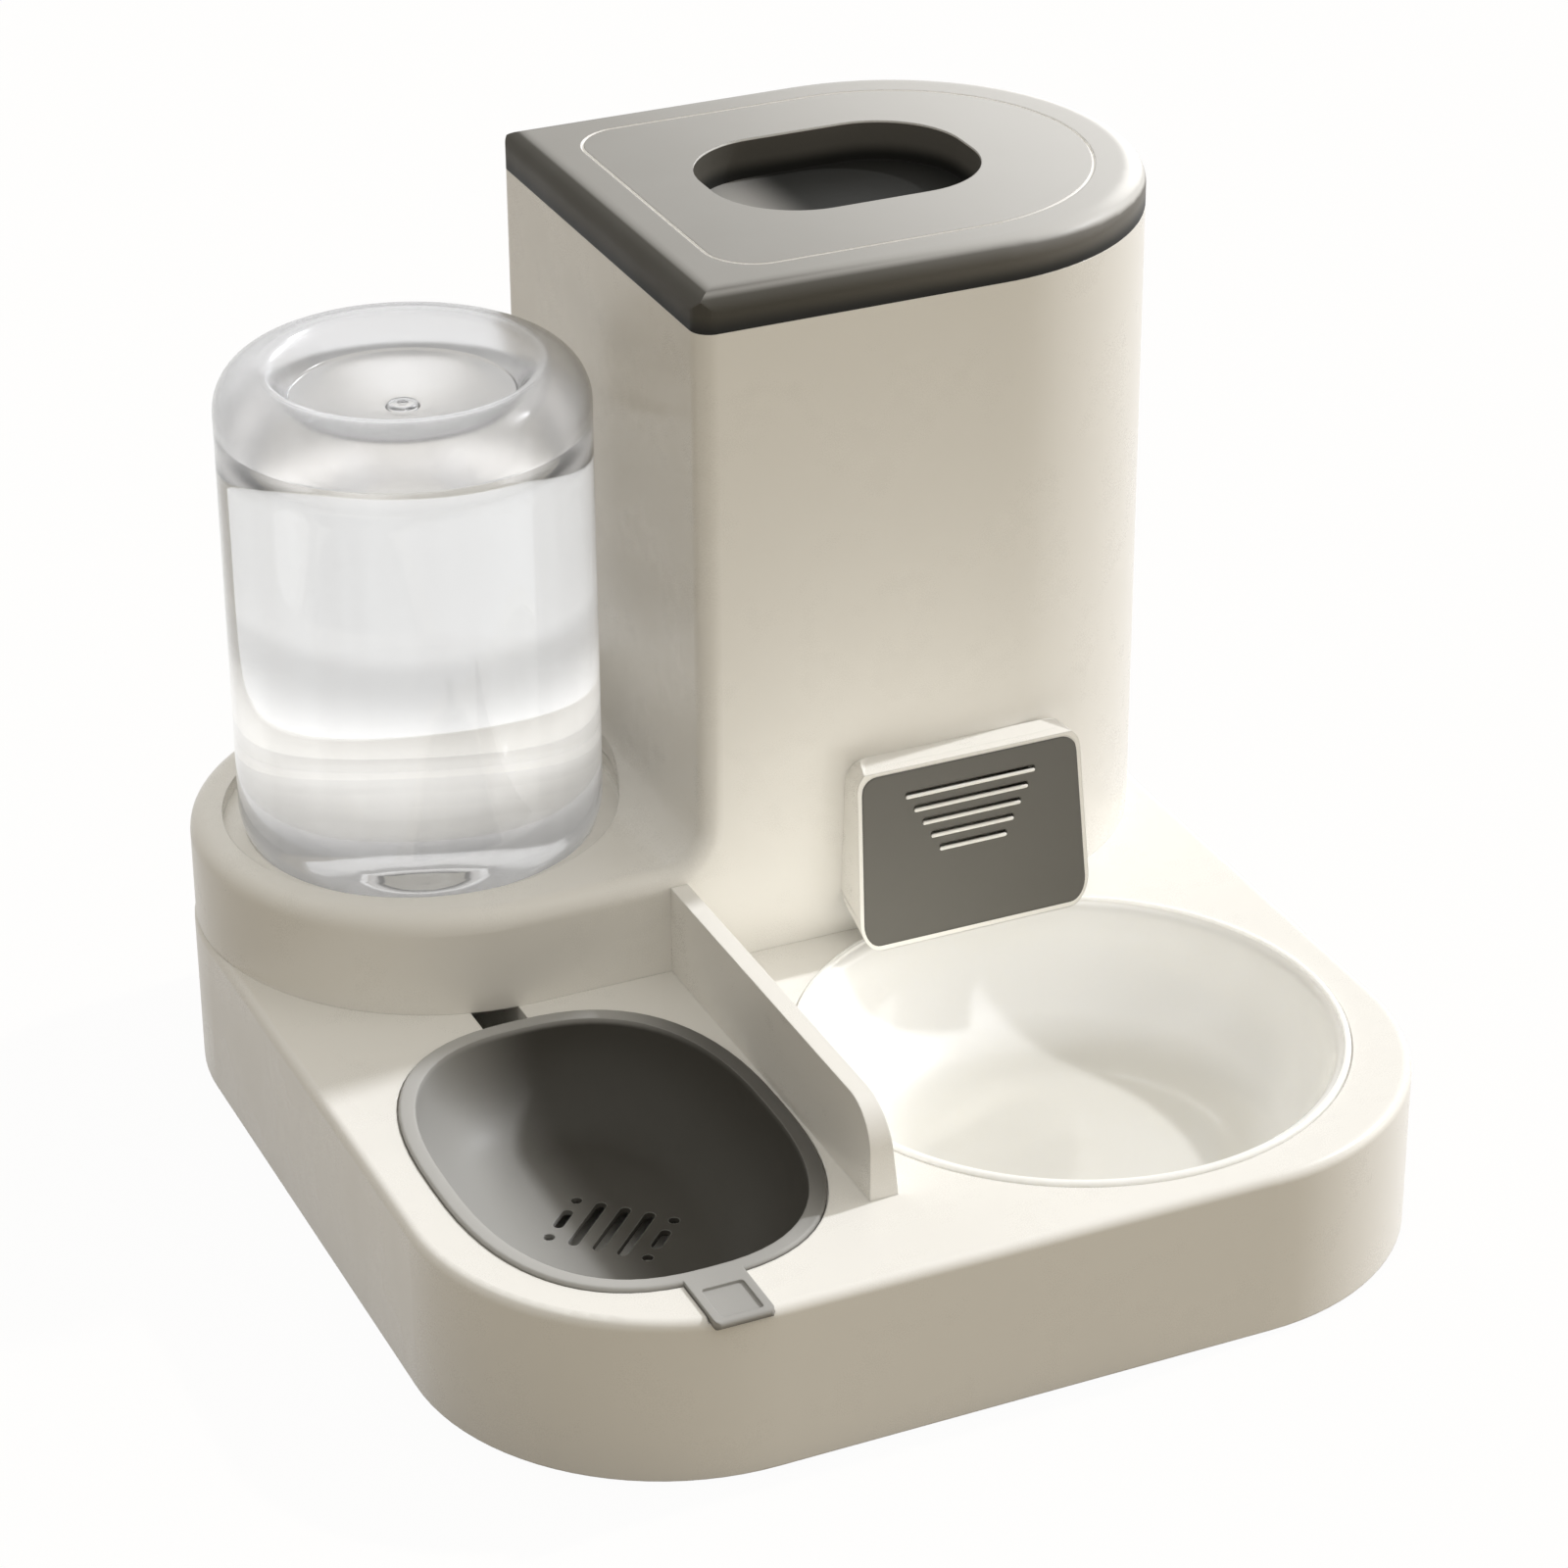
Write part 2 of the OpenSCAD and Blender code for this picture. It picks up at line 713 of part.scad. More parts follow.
// Front view of the platform and bin, drawn in by inset: the cove joins them
module front_outline(inset) {
    cove = cove_r + inset;
    cx = bin_left - cove_r;
    cz = platform_z + cove_r;
    foot = deck_z;
    translate([left_x, foot]) square([cx - left_x, platform_z - inset - foot]);
    translate([bin_left + inset, foot]) square([right_x - bin_left - inset, bin_z - foot]);
    difference() {
        translate([cx, foot]) square([bin_left + inset - cx, cz - foot]);
        translate([cx, cz]) circle(cove);
    }
}

// Rounded front or back edge of the straight part, along platform, cove and bin
module edge_round(inset, e) {
    cx = bin_left - cove_r;
    cz = platform_z + cove_r;
    translate([left_x, 0, platform_z - inset - e]) rotate([0, 90, 0]) cylinder(r = e, h = cx - left_x);
    translate([cx, 0, cz]) rotate([90, 0, 0]) rotate([0, 0, -90])
        rotate_extrude(angle = 90) translate([cove_r + inset + e, 0]) circle(e);
    translate([bin_left + inset + e, 0, cz]) cylinder(r = e, h = bin_z - cz);
}

// Outer form of the housing, drawn in by inset
module housing_form(inset) {
    e = edge_r - inset;
    half = housing_r - inset;
    extrude_back(housing_y - half + e, housing_y + half - e) front_outline(inset);
    extrude_back(housing_y - half, housing_y + half) front_outline(inset + e);
    for (s = [-1, 1]) translate([0, housing_y + s * (half - e), 0]) edge_round(inset, e);
    translate([left_x, housing_y, deck_z])
        rotate_extrude() edge_section(half, platform_z - inset - deck_z, e);
    translate([right_x, housing_y, deck_z]) cylinder(r = half, h = bin_h);
}

// Hollow under the platform, up to the bin's left wall
module platform_hollow() {
    intersection() {
        translate([0, 0, -over]) housing_form(housing_wall);
        translate([-tray_w / 2, housing_y - corner_r, 0]) cube([tray_w / 2 + bin_left, 2 * corner_r, bin_z]);
    }
    translate([0, 0, deck_z - over]) linear_extrude(2 * over) intersection() {
        translate([left_x, housing_y]) circle(housing_r - housing_wall);
        translate([-tray_w / 2, housing_y - corner_r]) square([corner_r, 2 * corner_r]);
    }
}

// Section of the seat: a cup that follows the bottle's shoulder at a distance, and a collar for the cap
module seat_section(gap, foot_z) {
    rise = shoulder_h + gap;
    reach = bottle_r - neck_r + gap;
    polygon(concat(
        [[0, wall_z]],
        [[0, foot_z], [collar_r + gap - fit, foot_z]],
        [for (i = [3:9]) let (a = 90 * i / 10)
            [neck_r + reach * sin(a), wall_z - rise * cos(a)]],
        [[bottle_r + gap, wall_z]]));
}

module seat_wall() {
    shelf = seat_r + housing_wall;
    difference() {
        rotate_extrude() intersection() {
            union() {
                seat_section(fit + housing_wall, collar_z);
                translate([0, seat_z - housing_wall]) square([shelf, platform_z - seat_z]);
            }
            translate([0, collar_z]) square([shelf, platform_z - 1 - collar_z]);
        }
        translate([0, 0, collar_z - over]) cylinder(r = collar_r, h = over + fit);
    }
}

module seat_cut() {
    rotate_extrude() seat_section(fit, collar_z - over);
    translate([0, 0, seat_z]) cylinder(r = seat_r, h = platform_h);
}

// Ribs behind the floor of the bin carry it
module floor_ribs() {
    rib_t = 2.2;
    rib_out = 20;
    start = housing_y;
    back = housing_y + housing_r - housing_wall / 2;
    for (x = [hood_x - rib_out, hood_x + rib_out])
        extrude_right(x - rib_t / 2, x + rib_t / 2)
            polygon([[start, deck_z], [back, deck_z],
                     [back, floor_height(back) - floor_drop - fit],
                     [start, floor_height(start) - floor_drop - fit]]);
}

module housing() {
    color(CREAM) difference() {
        union() {
            difference() {
                housing_form(0);
                platform_hollow();
                translate([0, 0, deck_z - over]) linear_extrude(bin_h + 2 * over) bin_outline(housing_wall);
            }
            translate([bottle_x, bottle_y]) seat_wall();
            at_screws() translate([0, 0, deck_z]) cylinder(r = screw_boss_r, h = boss_top_z - deck_z);
            floor_ribs();
        }
        translate([bottle_x, bottle_y]) seat_cut();
        extrude_back(housing_front - over, housing_front + housing_wall + over) mouth_outline(0);
        at_screws() translate([0, 0, deck_z - over])
            cylinder(r = screw_r + fit / 2, h = screw_len + over + screw_spare);
    }
}

// All below the bin's floor, whose back and two sides slope down to the mouth
module under_floor(drop_back, drop_side) {
    far = 2 * housing_r;
    half = mouth_w / 2;
    low = sill_z + floor_drop;
    foot = deck_z;
    extrude_right(bin_left, right_x + housing_r)
        polygon([[floor_front - over, foot], [floor_front + far, foot],
                 [floor_front + far, floor_height(floor_front + far) - drop_back],
                 [floor_front - over, floor_height(floor_front - over) - drop_back]]);
    for (s = [-1, 1])
        extrude_back(housing_front, housing_front + far)
            translate([hood_x, 0])
                polygon([[s * half, foot], [s * (half + far), foot],
                         [s * (half + far), low + far * tan(side_slope) - drop_side],
                         [s * half, low - drop_side]]);
}

module hopper_floor() {
    color(CREAM) intersection() {
        difference() {
            under_floor(0, 0);
            under_floor(floor_drop, side_drop);
        }
        translate([0, 0, deck_z]) linear_extrude(bin_h) bin_outline(housing_wall + fit);
    }
}

// Chute

// Front view of the hood, drawn in by inset
module hood_front(inset) {
    r = max(hood_corner_r - inset, 0.5);
    translate([hood_x, 0])
        polygon(trapezoid_points(hood_w / 2 + hood_flare - inset, hood_foot_z + inset,
                                 hood_w / 2 - inset, hood_top_z - inset, r));
}

// Side view of the hood, with its front face set back by inset
module hood_side(inset, back = 0) {
    polygon([[housing_front + back, hood_foot_z + hood_rise + back * hood_rise / hood_foot_out],
             [housing_front + back, hood_top_z],
             [housing_front - hood_top_out + inset, hood_top_z - hood_drop],
             [housing_front - hood_foot_out + inset, hood_foot_z]]);
}

// Puts a thing into the plane of the hood's front face: X right, Y up the face, Z out of it
module on_hood_face() {
    translate([hood_x, housing_front - hood_foot_out, hood_foot_z])
        rotate([90 - hood_lean, 0, 0]) children();
}

// Outline of the front plate in the face's plane, drawn in by inset
module panel_outline(inset) {
    foot_half = hood_w / 2 + hood_flare - hood_wall - inset;
    top_half = hood_w / 2 - hood_wall - inset;
    polygon(trapezoid_points(foot_half, hood_wall + inset, top_half, hood_wall + panel_h - inset,
                             panel_r - inset / 2));
}

// The hood's outer body, from its front face back to the bin, or its inside where front_in is the front wall
module hood_body(inset, front_in, back) {
    intersection() {
        extrude_back(housing_front - 2 * hood_foot_out, housing_front + back) hood_front(inset);
        extrude_right(hood_x - hood_w, hood_x + hood_w) hood_side(front_in, back);
    }
}

// Front view of the mouth in the bin's wall, drawn in by inset
module mouth_outline(inset) {
    translate([hood_x, sill_z + mouth_h / 2])
        rounded_rect(mouth_w - 2 * inset, mouth_h - 2 * inset, mouth_r - inset);
}

// Hollow behind the front face, open at the foot so that food falls into the bowl
module hood_hollow() {
    open_w = hood_w - hood_corner_r;
    hood_body(hood_wall, front_wall, over);
    translate([hood_x - open_w / 2, housing_front - hood_foot_out + front_wall, hood_foot_z - over])
        cube([open_w, hood_foot_out, hood_rise + hood_wall + over]);
}

module chute_hood() {
    frame_w = 2.6;
    color(CREAM) difference() {
        union() {
            difference() {
                hood_body(0, 0, 0);
                hood_hollow();
            }
            intersection() {
                hood_body(0, 0, 0);
                extrude_back(housing_front - hood_wall, housing_front) hood_front(0);
            }
            extrude_back(housing_front - hood_wall, housing_front + housing_wall) mouth_outline(fit / 2);
        }
        extrude_back(housing_front - hood_wall - over, housing_front + housing_wall + over)
            mouth_outline(fit / 2 + hood_wall);
        on_hood_face() {
            translate([0, 0, -panel_t - panel_sink])
                linear_extrude(panel_t + panel_sink + over) panel_outline(0);
            translate([0, 0, -front_wall - over])
                linear_extrude(front_wall + over) panel_outline(frame_w);
        }
    }
}

module panel_slot_cuts() {
    first_in = 7;
    first = hood_wall + panel_h - first_in;
    for (i = [0:panel_slots - 1])
        translate([0, first - i * panel_slot_pitch]) rotate(90)
            slot(panel_slot_h, panel_slot_w - i * panel_slot_step);
}

module chute_panel() {
    color(PANEL_GREY) on_hood_face() translate([0, 0, -panel_t - panel_sink]) linear_extrude(panel_t)
        difference() {
            panel_outline(fit / 2);
            panel_slot_cuts();
        }
}

// Bottle, standing on its mouth

// Half section of the bottle's skin, drawn in by inset: neck, shoulder, wall, heel and sunken base
module bottle_section(inset) {
    ring_r = 42;
    dish_r = 33.6;
    dish_z = wall_top_z + 4.5;
    nub_r = 4;
    heel = bottle_r - ring_r;
    reach = bottle_r - neck_r;
    neck_foot = inset > 0 ? mouth_z - over : mouth_z;
    polygon(concat(
        [[0, neck_foot], [neck_r - inset, neck_foot]],
        [for (i = [0:10]) let (a = 90 * i / 10)
            [neck_r - inset + reach * sin(a), wall_z - (shoulder_h - inset) * cos(a)]],
        [for (i = [0:8]) let (a = 90 * i / 8)
            [ring_r + (heel - inset) * cos(a), wall_top_z + (heel_h - inset) * sin(a)]],
        [for (p = [[ring_r - 2.5, bottle_top_z - 0.8],
                   [ring_r - 5, bottle_top_z - 3.5],
                   [dish_r, dish_z],
                   [dish_r - 2, dish_z - 1.2],
                   [dish_r - 12, dish_z - 3],
                   [10, dish_z - 4.6],
                   [nub_r + 1, dish_z - 5],
                   [nub_r, dish_z - 4],
                   [0, dish_z - 3.6]]) [p[0], p[1] - inset]]));
}

module bottle() {
    ring_gap = 0.6;
    ring_z = water_z + cap_h + ring_gap;
    color(CLEAR) translate([bottle_x, bottle_y]) rotate_extrude() difference() {
        union() {
            bottle_section(0);
            translate([neck_r - 1, ring_z]) square([3, 1.6]);
        }
        bottle_section(bottle_wall);
    }
}

// Plan of the cap with its grip ribs
module cap_outline() {
    circle(cap_r);
    for (i = [0:cap_ribs - 1])
        rotate(360 * (i + 0.5) / cap_ribs) translate([cap_r, 0]) circle(rib_r, $fn = 24);
}

// Three ports between the spokes that carry the stem's guide
module cap_ports(guide_out) {
    spoke_w = 2;
    difference() {
        circle(port_r);
        circle(guide_out);
        for (i = [0:2])
            rotate(120 * i) translate([0, -spoke_w / 2]) square([port_r + over, spoke_w]);
    }
}

module bottle_cap() {
    guide_in = stem_r + running;
    guide_out = guide_in + guide_wall;
    color(CREAM) translate([bottle_x, bottle_y, water_z]) difference() {
        union() {
            linear_extrude(cap_h) cap_outline();
            translate([0, 0, -guide_h]) cylinder(r = guide_out, h = guide_h + cap_plate_t / 2);
        }
        translate([0, 0, cap_plate_t]) cylinder(r = cap_in_r, h = cap_h);
        translate([0, 0, -over]) linear_extrude(cap_plate_t + 2 * over) cap_ports(guide_out);
        translate([0, 0, -guide_h - over]) cylinder(r = guide_in, h = guide_h + cap_plate_t + 2 * over);
    }
}

module cap_gasket() {
    color(SILICONE) translate([bottle_x, bottle_y, water_z + cap_plate_t]) difference() {
        cylinder(r = cap_in_r - 0.1, h = gasket_t);
        translate([0, 0, -over]) cylinder(r = neck_r - 3, h = gasket_t + 2 * over);
    }
}

module valve_stem() {
    disc_t = 1.5;
    disc_z = seal_z + seal_t;
    tip_h = 2;
    color(CREAM) translate([bottle_x, bottle_y]) {
        translate([0, 0, retainer_z]) cylinder(r = stem_r, h = disc_z - retainer_z);
        translate([0, 0, disc_z]) cylinder(r = seal_r - 0.5, h = disc_t);
        translate([0, 0, disc_z + disc_t]) cylinder(r1 = stem_r, r2 = stem_r / 2, h = tip_h);
    }
}

module valve_seal() {
    color(SILICONE) translate([bottle_x, bottle_y, seal_z]) difference() {
        cylinder(r = seal_r, h = seal_t);
        translate([0, 0, -over]) cylinder(r = stem_r, h = seal_t + 2 * over);
    }
}

module spring_retainer() {
    color(CREAM) translate([bottle_x, bottle_y, retainer_z]) difference() {
        cylinder(r = retainer_r, h = retainer_h);
        translate([0, 0, -over]) cylinder(r = stem_r, h = retainer_h + 2 * over);
    }
}

// A round wire wound up from the retainer to the cap
module valve_spring() {
    sides = 8;
    per_turn = 20;
    steps = spring_turns * per_turn;
    rise = spring_gap - 2 * spring_wire_r;
    rings = [for (k = [0:steps], i = [0:sides - 1])
        let (turn = 360 * k / per_turn, a = 360 * i / sides,
             r = spring_r + spring_wire_r * cos(a))
        [r * cos(turn), r * sin(turn), spring_wire_r * (1 + sin(a)) + rise * k / steps]];
    skin = [for (k = [0:steps - 1], i = [0:sides - 1]) let (j = (i + 1) % sides)
        each [[k * sides + i, (k + 1) * sides + i, (k + 1) * sides + j],
              [k * sides + i, (k + 1) * sides + j, k * sides + j]]];
    ends = [[for (i = [0:sides - 1]) i], [for (i = [sides - 1:-1:0]) steps * sides + i]];
    color(STEEL) translate([bottle_x, bottle_y, retainer_z + retainer_h])
        polyhedron(rings, concat(skin, ends));
}

// Lid

// Edge of the lid as [distance past the bin's wall, height over the bin]: upright, then an elliptic bevel
function lid_edge(inset) = concat(
    [[0, -over]],
    [for (p = quarter_points(lid_bevel_w, lid_bevel_h))
        [p[0] - lid_bevel_w, lid_skirt_h + p[1] - inset]]);

// Form of the lid, drawn in by inset: a run along X, closed by a bevel on its left and a round end
module lid_form(inset) {
    half = housing_r - inset;
    left = bin_left + inset;
    edge = lid_edge(inset);
    last = len(edge) - 1;
    intersection() {
        extrude_right(left, right_x) translate([housing_y, bin_z])
            polygon(concat([for (p = edge) [p[0] + half, p[1]]],
                           [for (i = [last:-1:0]) [-edge[i][0] - half, edge[i][1]]]));
        extrude_back(housing_y - half, housing_y + half) translate([0, bin_z])
            polygon(concat([[right_x, -over], [right_x, edge[last][1]]],
                           [for (i = [last:-1:0]) [left - edge[i][0], edge[i][1]]]));
        translate([0, 0, bin_z - over]) linear_extrude(lid_z) bin_outline(inset);
    }
    translate([right_x, housing_y, bin_z]) rotate_extrude()
        polygon(concat([[0, -over]], [for (p = edge) [p[0] + half, p[1]]], [[0, edge[last][1]]]));
}

module recess_outline(grow = 0) {
    translate([recess_x, recess_y])
        rounded_rect(recess_w + 2 * grow, recess_d + 2 * grow, recess_r + grow);
}

module lid() {
    cup_z = lid_z - recess_h;
    seat = housing_wall + plug_gap;
    line_r = 16;
    join = 1;
    color(LID_GREY) difference() {
        union() {
            difference() {
                lid_form(0);
                lid_form(lid_wall);
                translate([0, 0, bin_z - 2 * over]) linear_extrude(2 * over) bin_outline(-over);
            }
            translate([0, 0, bin_z - plug_h]) linear_extrude(plug_h + lid_skirt_h + join) difference() {
                bin_outline(seat);
                bin_outline(seat + plug_wall);
            }
            translate([0, 0, cup_z - lid_wall])
                linear_extrude(recess_h + lid_wall - join) recess_outline(lid_wall);
        }
        translate([0, 0, cup_z]) linear_extrude(recess_h + over) recess_outline();
        translate([0, 0, seal_ring_z]) linear_extrude(seal_ring_h) difference() {
            bin_outline(0);
            bin_outline(seat + seal_groove);
        }
        translate([0, 0, lid_z - line_h]) linear_extrude(line_h + over) difference() {
            bin_outline(line_inset, line_inset + line_r);
            bin_outline(line_inset + line_w, line_inset + line_r);
        }
    }
}

module lid_seal() {
    color(SILICONE) translate([0, 0, seal_ring_z]) linear_extrude(seal_ring_h) difference() {
        bin_outline(housing_wall + fit / 2);
        bin_outline(housing_wall + plug_gap + seal_groove);
    }
}

// Screws that hold the housing to the tray, from below

module housing_screws() {
    tip_h = 2;
    tip_r = 0.3;
    under_deck = deck_z - tray_wall;
    color(STEEL) at_screws() {
        translate([0, 0, under_deck - screw_head_h]) cylinder(r = screw_head_r, h = screw_head_h);
        translate([0, 0, under_deck]) cylinder(r = screw_r, h = screw_len - tip_h);
        translate([0, 0, under_deck + screw_len - tip_h]) cylinder(r1 = screw_r, r2 = tip_r, h = tip_h);
    }
}

base_tray();
foot_front_left();
foot_front_right();
foot_back_left();
foot_back_right();
food_bowl();
water_bowl();
housing();
hopper_floor();
chute_hood();
chute_panel();
bottle();
bottle_cap();
cap_gasket();
valve_stem();
valve_seal();
valve_spring();
spring_retainer();
lid();
lid_seal();
housing_screws();
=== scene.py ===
"""A pet food and water dispenser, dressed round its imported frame.

Metres in the part's own frame: +X right, +Y back, +Z up, and the table at z = 0.
"""
import math

import bmesh
import bpy
from mathutils import Matrix, Vector
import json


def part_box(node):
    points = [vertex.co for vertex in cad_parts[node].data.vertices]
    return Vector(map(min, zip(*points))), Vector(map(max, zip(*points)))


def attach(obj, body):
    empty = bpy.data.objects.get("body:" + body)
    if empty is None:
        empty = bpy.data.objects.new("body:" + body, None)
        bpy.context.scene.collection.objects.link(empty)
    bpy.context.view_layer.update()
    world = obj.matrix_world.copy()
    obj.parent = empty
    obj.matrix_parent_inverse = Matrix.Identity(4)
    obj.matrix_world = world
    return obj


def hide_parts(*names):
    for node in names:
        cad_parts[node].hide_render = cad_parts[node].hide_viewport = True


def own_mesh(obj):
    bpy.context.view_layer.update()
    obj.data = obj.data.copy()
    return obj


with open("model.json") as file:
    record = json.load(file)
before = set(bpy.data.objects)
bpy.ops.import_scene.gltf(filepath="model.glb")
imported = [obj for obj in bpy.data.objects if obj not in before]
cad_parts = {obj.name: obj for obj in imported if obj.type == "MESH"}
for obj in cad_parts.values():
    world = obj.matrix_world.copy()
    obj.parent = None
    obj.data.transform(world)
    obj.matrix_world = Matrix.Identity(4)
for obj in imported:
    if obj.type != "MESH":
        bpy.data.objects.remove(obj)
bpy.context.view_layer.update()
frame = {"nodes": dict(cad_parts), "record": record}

MM = 0.001


def link_object(name, data):
    made = bpy.data.objects.new(name, data)
    bpy.context.collection.objects.link(made)
    return made


# Camera

CAMERA_PLACE = (-0.49565, -1.09929, 0.7581)
CAMERA_TURN = math.radians(-24.26)
CAMERA_DOWN = math.radians(28.14)
CAMERA_ROLL = math.radians(-0.35)
LENS_MM = 108.9
SENSOR_MM = 36
NEAREST_SEEN = 0.05


def make_camera():
    forward = Vector((-math.sin(CAMERA_TURN) * math.cos(CAMERA_DOWN),
                      math.cos(CAMERA_TURN) * math.cos(CAMERA_DOWN),
                      -math.sin(CAMERA_DOWN)))
    level = Vector((math.cos(CAMERA_TURN), math.sin(CAMERA_TURN), 0))
    upright = level.cross(forward)
    right = math.cos(CAMERA_ROLL) * level + math.sin(CAMERA_ROLL) * upright
    up = -math.sin(CAMERA_ROLL) * level + math.cos(CAMERA_ROLL) * upright
    data = bpy.data.cameras.new("camera")
    data.lens = LENS_MM
    data.sensor_width = SENSOR_MM
    data.clip_start = NEAREST_SEEN
    camera = link_object("camera", data)
    turn = Matrix((right, up, -forward)).transposed().to_4x4()
    camera.matrix_world = Matrix.Translation(CAMERA_PLACE) @ turn
    bpy.context.scene.camera = camera


# Node helpers

def add_node(tree, kind, links=None, **settings):
    """Adds a node. links sets inputs, by name or number, to values or to other nodes' outputs."""
    node = tree.nodes.new(kind)
    for label, value in settings.items():
        setattr(node, label, value)
    for label, value in (links or {}).items():
        socket = node.inputs[label]
        if isinstance(value, bpy.types.NodeSocket):
            tree.links.new(value, socket)
        else:
            socket.default_value = value
    return node


def put(tree, kind, links=None, **settings):
    return add_node(tree, "ShaderNode" + kind, links, **settings)


def feed(tree, node, links):
    for label, output in links.items():
        tree.links.new(output, node.inputs[label])


def math_node(tree, operation, first, second, clamp=False):
    return put(tree, "Math", {0: first, 1: second}, operation=operation, use_clamp=clamp).outputs[0]


def both(tree, first, second):
    return math_node(tree, "MULTIPLY", first, second)


def either(tree, first, second):
    return math_node(tree, "MAXIMUM", first, second)


def remainder(tree, share):
    return math_node(tree, "SUBTRACT", 1.0, share)


def map_range(tree, value, source, target, curve="LINEAR"):
    """Maps the source range of a value onto the target range, each given as (low, high)."""
    links = {"Value": value, "From Min": source[0], "From Max": source[1],
             "To Min": target[0], "To Max": target[1]}
    return put(tree, "MapRange", links, interpolation_type=curve).outputs["Result"]


def between(tree, share, low, high):
    """Maps a share from 0 to 1 onto the range from low to high."""
    return map_range(tree, share, (0.0, 1.0), (low, high))


def soft_step(tree, value, low, high):
    """0 up to low, 1 from high on, and an even curve between them."""
    return map_range(tree, value, (low, high), (0.0, 1.0), "SMOOTHSTEP")


def blend_colour(tree, share, first, second):
    return put(tree, "Mix", {0: share, 6: first, 7: second}, data_type="RGBA").outputs[2]


def noise(tree, place, scale, detail=2.0, rough=0.5):
    links = {"Vector": place, "Scale": scale, "Detail": detail, "Roughness": rough}
    return put(tree, "TexNoise", links).outputs["Fac"]


def object_place(tree):
    return put(tree, "TexCoord").outputs["Object"]


def split(tree, vector):
    return put(tree, "SeparateXYZ", {0: vector}).outputs


def face_normal(tree):
    return put(tree, "NewGeometry").outputs["Normal"]


def alike(tree, first, second):
    """How far two directions agree: 1 where they are the same, 0 where they are square."""
    return put(tree, "VectorMath", {0: first, 1: second}, operation="DOT_PRODUCT").outputs["Value"]


def level_faces(tree, sharpness):
    """1 on faces that look straight up, falling off faster with more sharpness."""
    upward = either(tree, split(tree, face_normal(tree))["Z"], 0.0)
    return math_node(tree, "POWER", upward, sharpness, clamp=True)


# Shader groups

def new_group(name, inputs, outputs):
    """A shader node group, with inputs as (name, kind, value) and outputs as (name, kind)."""
    tree = bpy.data.node_groups.new(name, "ShaderNodeTree")
    for label, kind, value in inputs:
        socket = tree.interface.new_socket(label, in_out="INPUT", socket_type="NodeSocket" + kind)
        socket.default_value = value
    for label, kind in outputs:
        tree.interface.new_socket(label, in_out="OUTPUT", socket_type="NodeSocket" + kind)
    given = tree.nodes.new("NodeGroupInput")
    result = tree.nodes.new("NodeGroupOutput")
    return tree, given.outputs, result


def place_group(tree, group, **values):
    """Places a shader group in a material. An underscore in a value's name stands for a space."""
    node = tree.nodes.new("ShaderNodeGroup")
    node.node_tree = group
    for label, value in values.items():
        node.inputs[label.replace("_", " ")].default_value = value
    return node.outputs


CLOUD_SCALE = 14.0
FLOW_SCALE = 45.0
FLOW_IN_GLOSS = 0.6
GRAIN_IN_GLOSS = 0.4
UNEVEN_RANGE = (0.3, 0.7)


def make_moulded_skin():
    """Moulded plastic: faint clouds of colour, uneven gloss and a fine grain."""
    tree, given, result = new_group(
        "moulded skin",
        [("Colour", "Color", (0.8, 0.8, 0.8, 1)), ("Cloud Colour", "Color", (0.7, 0.7, 0.7, 1)),
         ("Cloud Share", "Float", 0.3), ("Gloss Low", "Float", 0.25), ("Gloss High", "Float", 0.35),
         ("Grain Scale", "Float", 2500.0), ("Wave Share", "Float", 0.5)],
        [("Colour", "Color"), ("Roughness", "Float"), ("Height", "Float")])
    place = object_place(tree)
    clouds = between(tree, noise(tree, place, CLOUD_SCALE, detail=3.0), low=-0.4, high=1.4)
    flow = noise(tree, place, FLOW_SCALE)
    grain = noise(tree, place, given["Grain Scale"], rough=0.6)
    share = math_node(tree, "MULTIPLY", clouds, given["Cloud Share"], clamp=True)
    flowing = both(tree, flow, FLOW_IN_GLOSS)
    uneven = math_node(tree, "ADD", flowing, both(tree, grain, GRAIN_IN_GLOSS))
    waves = both(tree, flow, given["Wave Share"])
    feed(tree, result, {
        "Colour": blend_colour(tree, share, given["Colour"], given["Cloud Colour"]),
        "Roughness": map_range(tree, uneven, UNEVEN_RANGE, (given["Gloss Low"], given["Gloss High"])),
        "Height": math_node(tree, "ADD", grain, waves)})
    return tree


EDGE_SAMPLES = 4


def make_soft_edge():
    """Rounds each sharp edge a little for the light, and gives a mask that is 1 on the edges."""
    tree, given, result = new_group(
        "soft edge", [("Radius", "Float", 0.0006), ("Mask Strength", "Float", 3.0)],
        [("Normal", "Vector"), ("Edge", "Float")])
    rounded = put(tree, "Bevel", {"Radius": given["Radius"]}, samples=EDGE_SAMPLES).outputs["Normal"]
    apart = math_node(tree, "SUBTRACT", 1.0, alike(tree, rounded, face_normal(tree)), clamp=True)
    edge = math_node(tree, "MULTIPLY", apart, given["Mask Strength"], clamp=True)
    feed(tree, result, {"Normal": rounded, "Edge": edge})
    return tree


def make_facing():
    """A mask of the faces that look one way, such as those that a mould leaves lighter or duller."""
    tree, given, result = new_group(
        "facing",
        [("Toward", "Vector", (0, 0, 1)),
         ("None Below", "Float", 0.6), ("Full Above", "Float", 0.95)],
        [("Facing", "Float")])
    agreed = alike(tree, face_normal(tree), given["Toward"])
    feed(tree, result, {"Facing": soft_step(tree, agreed, given["None Below"], given["Full Above"])})
    return tree


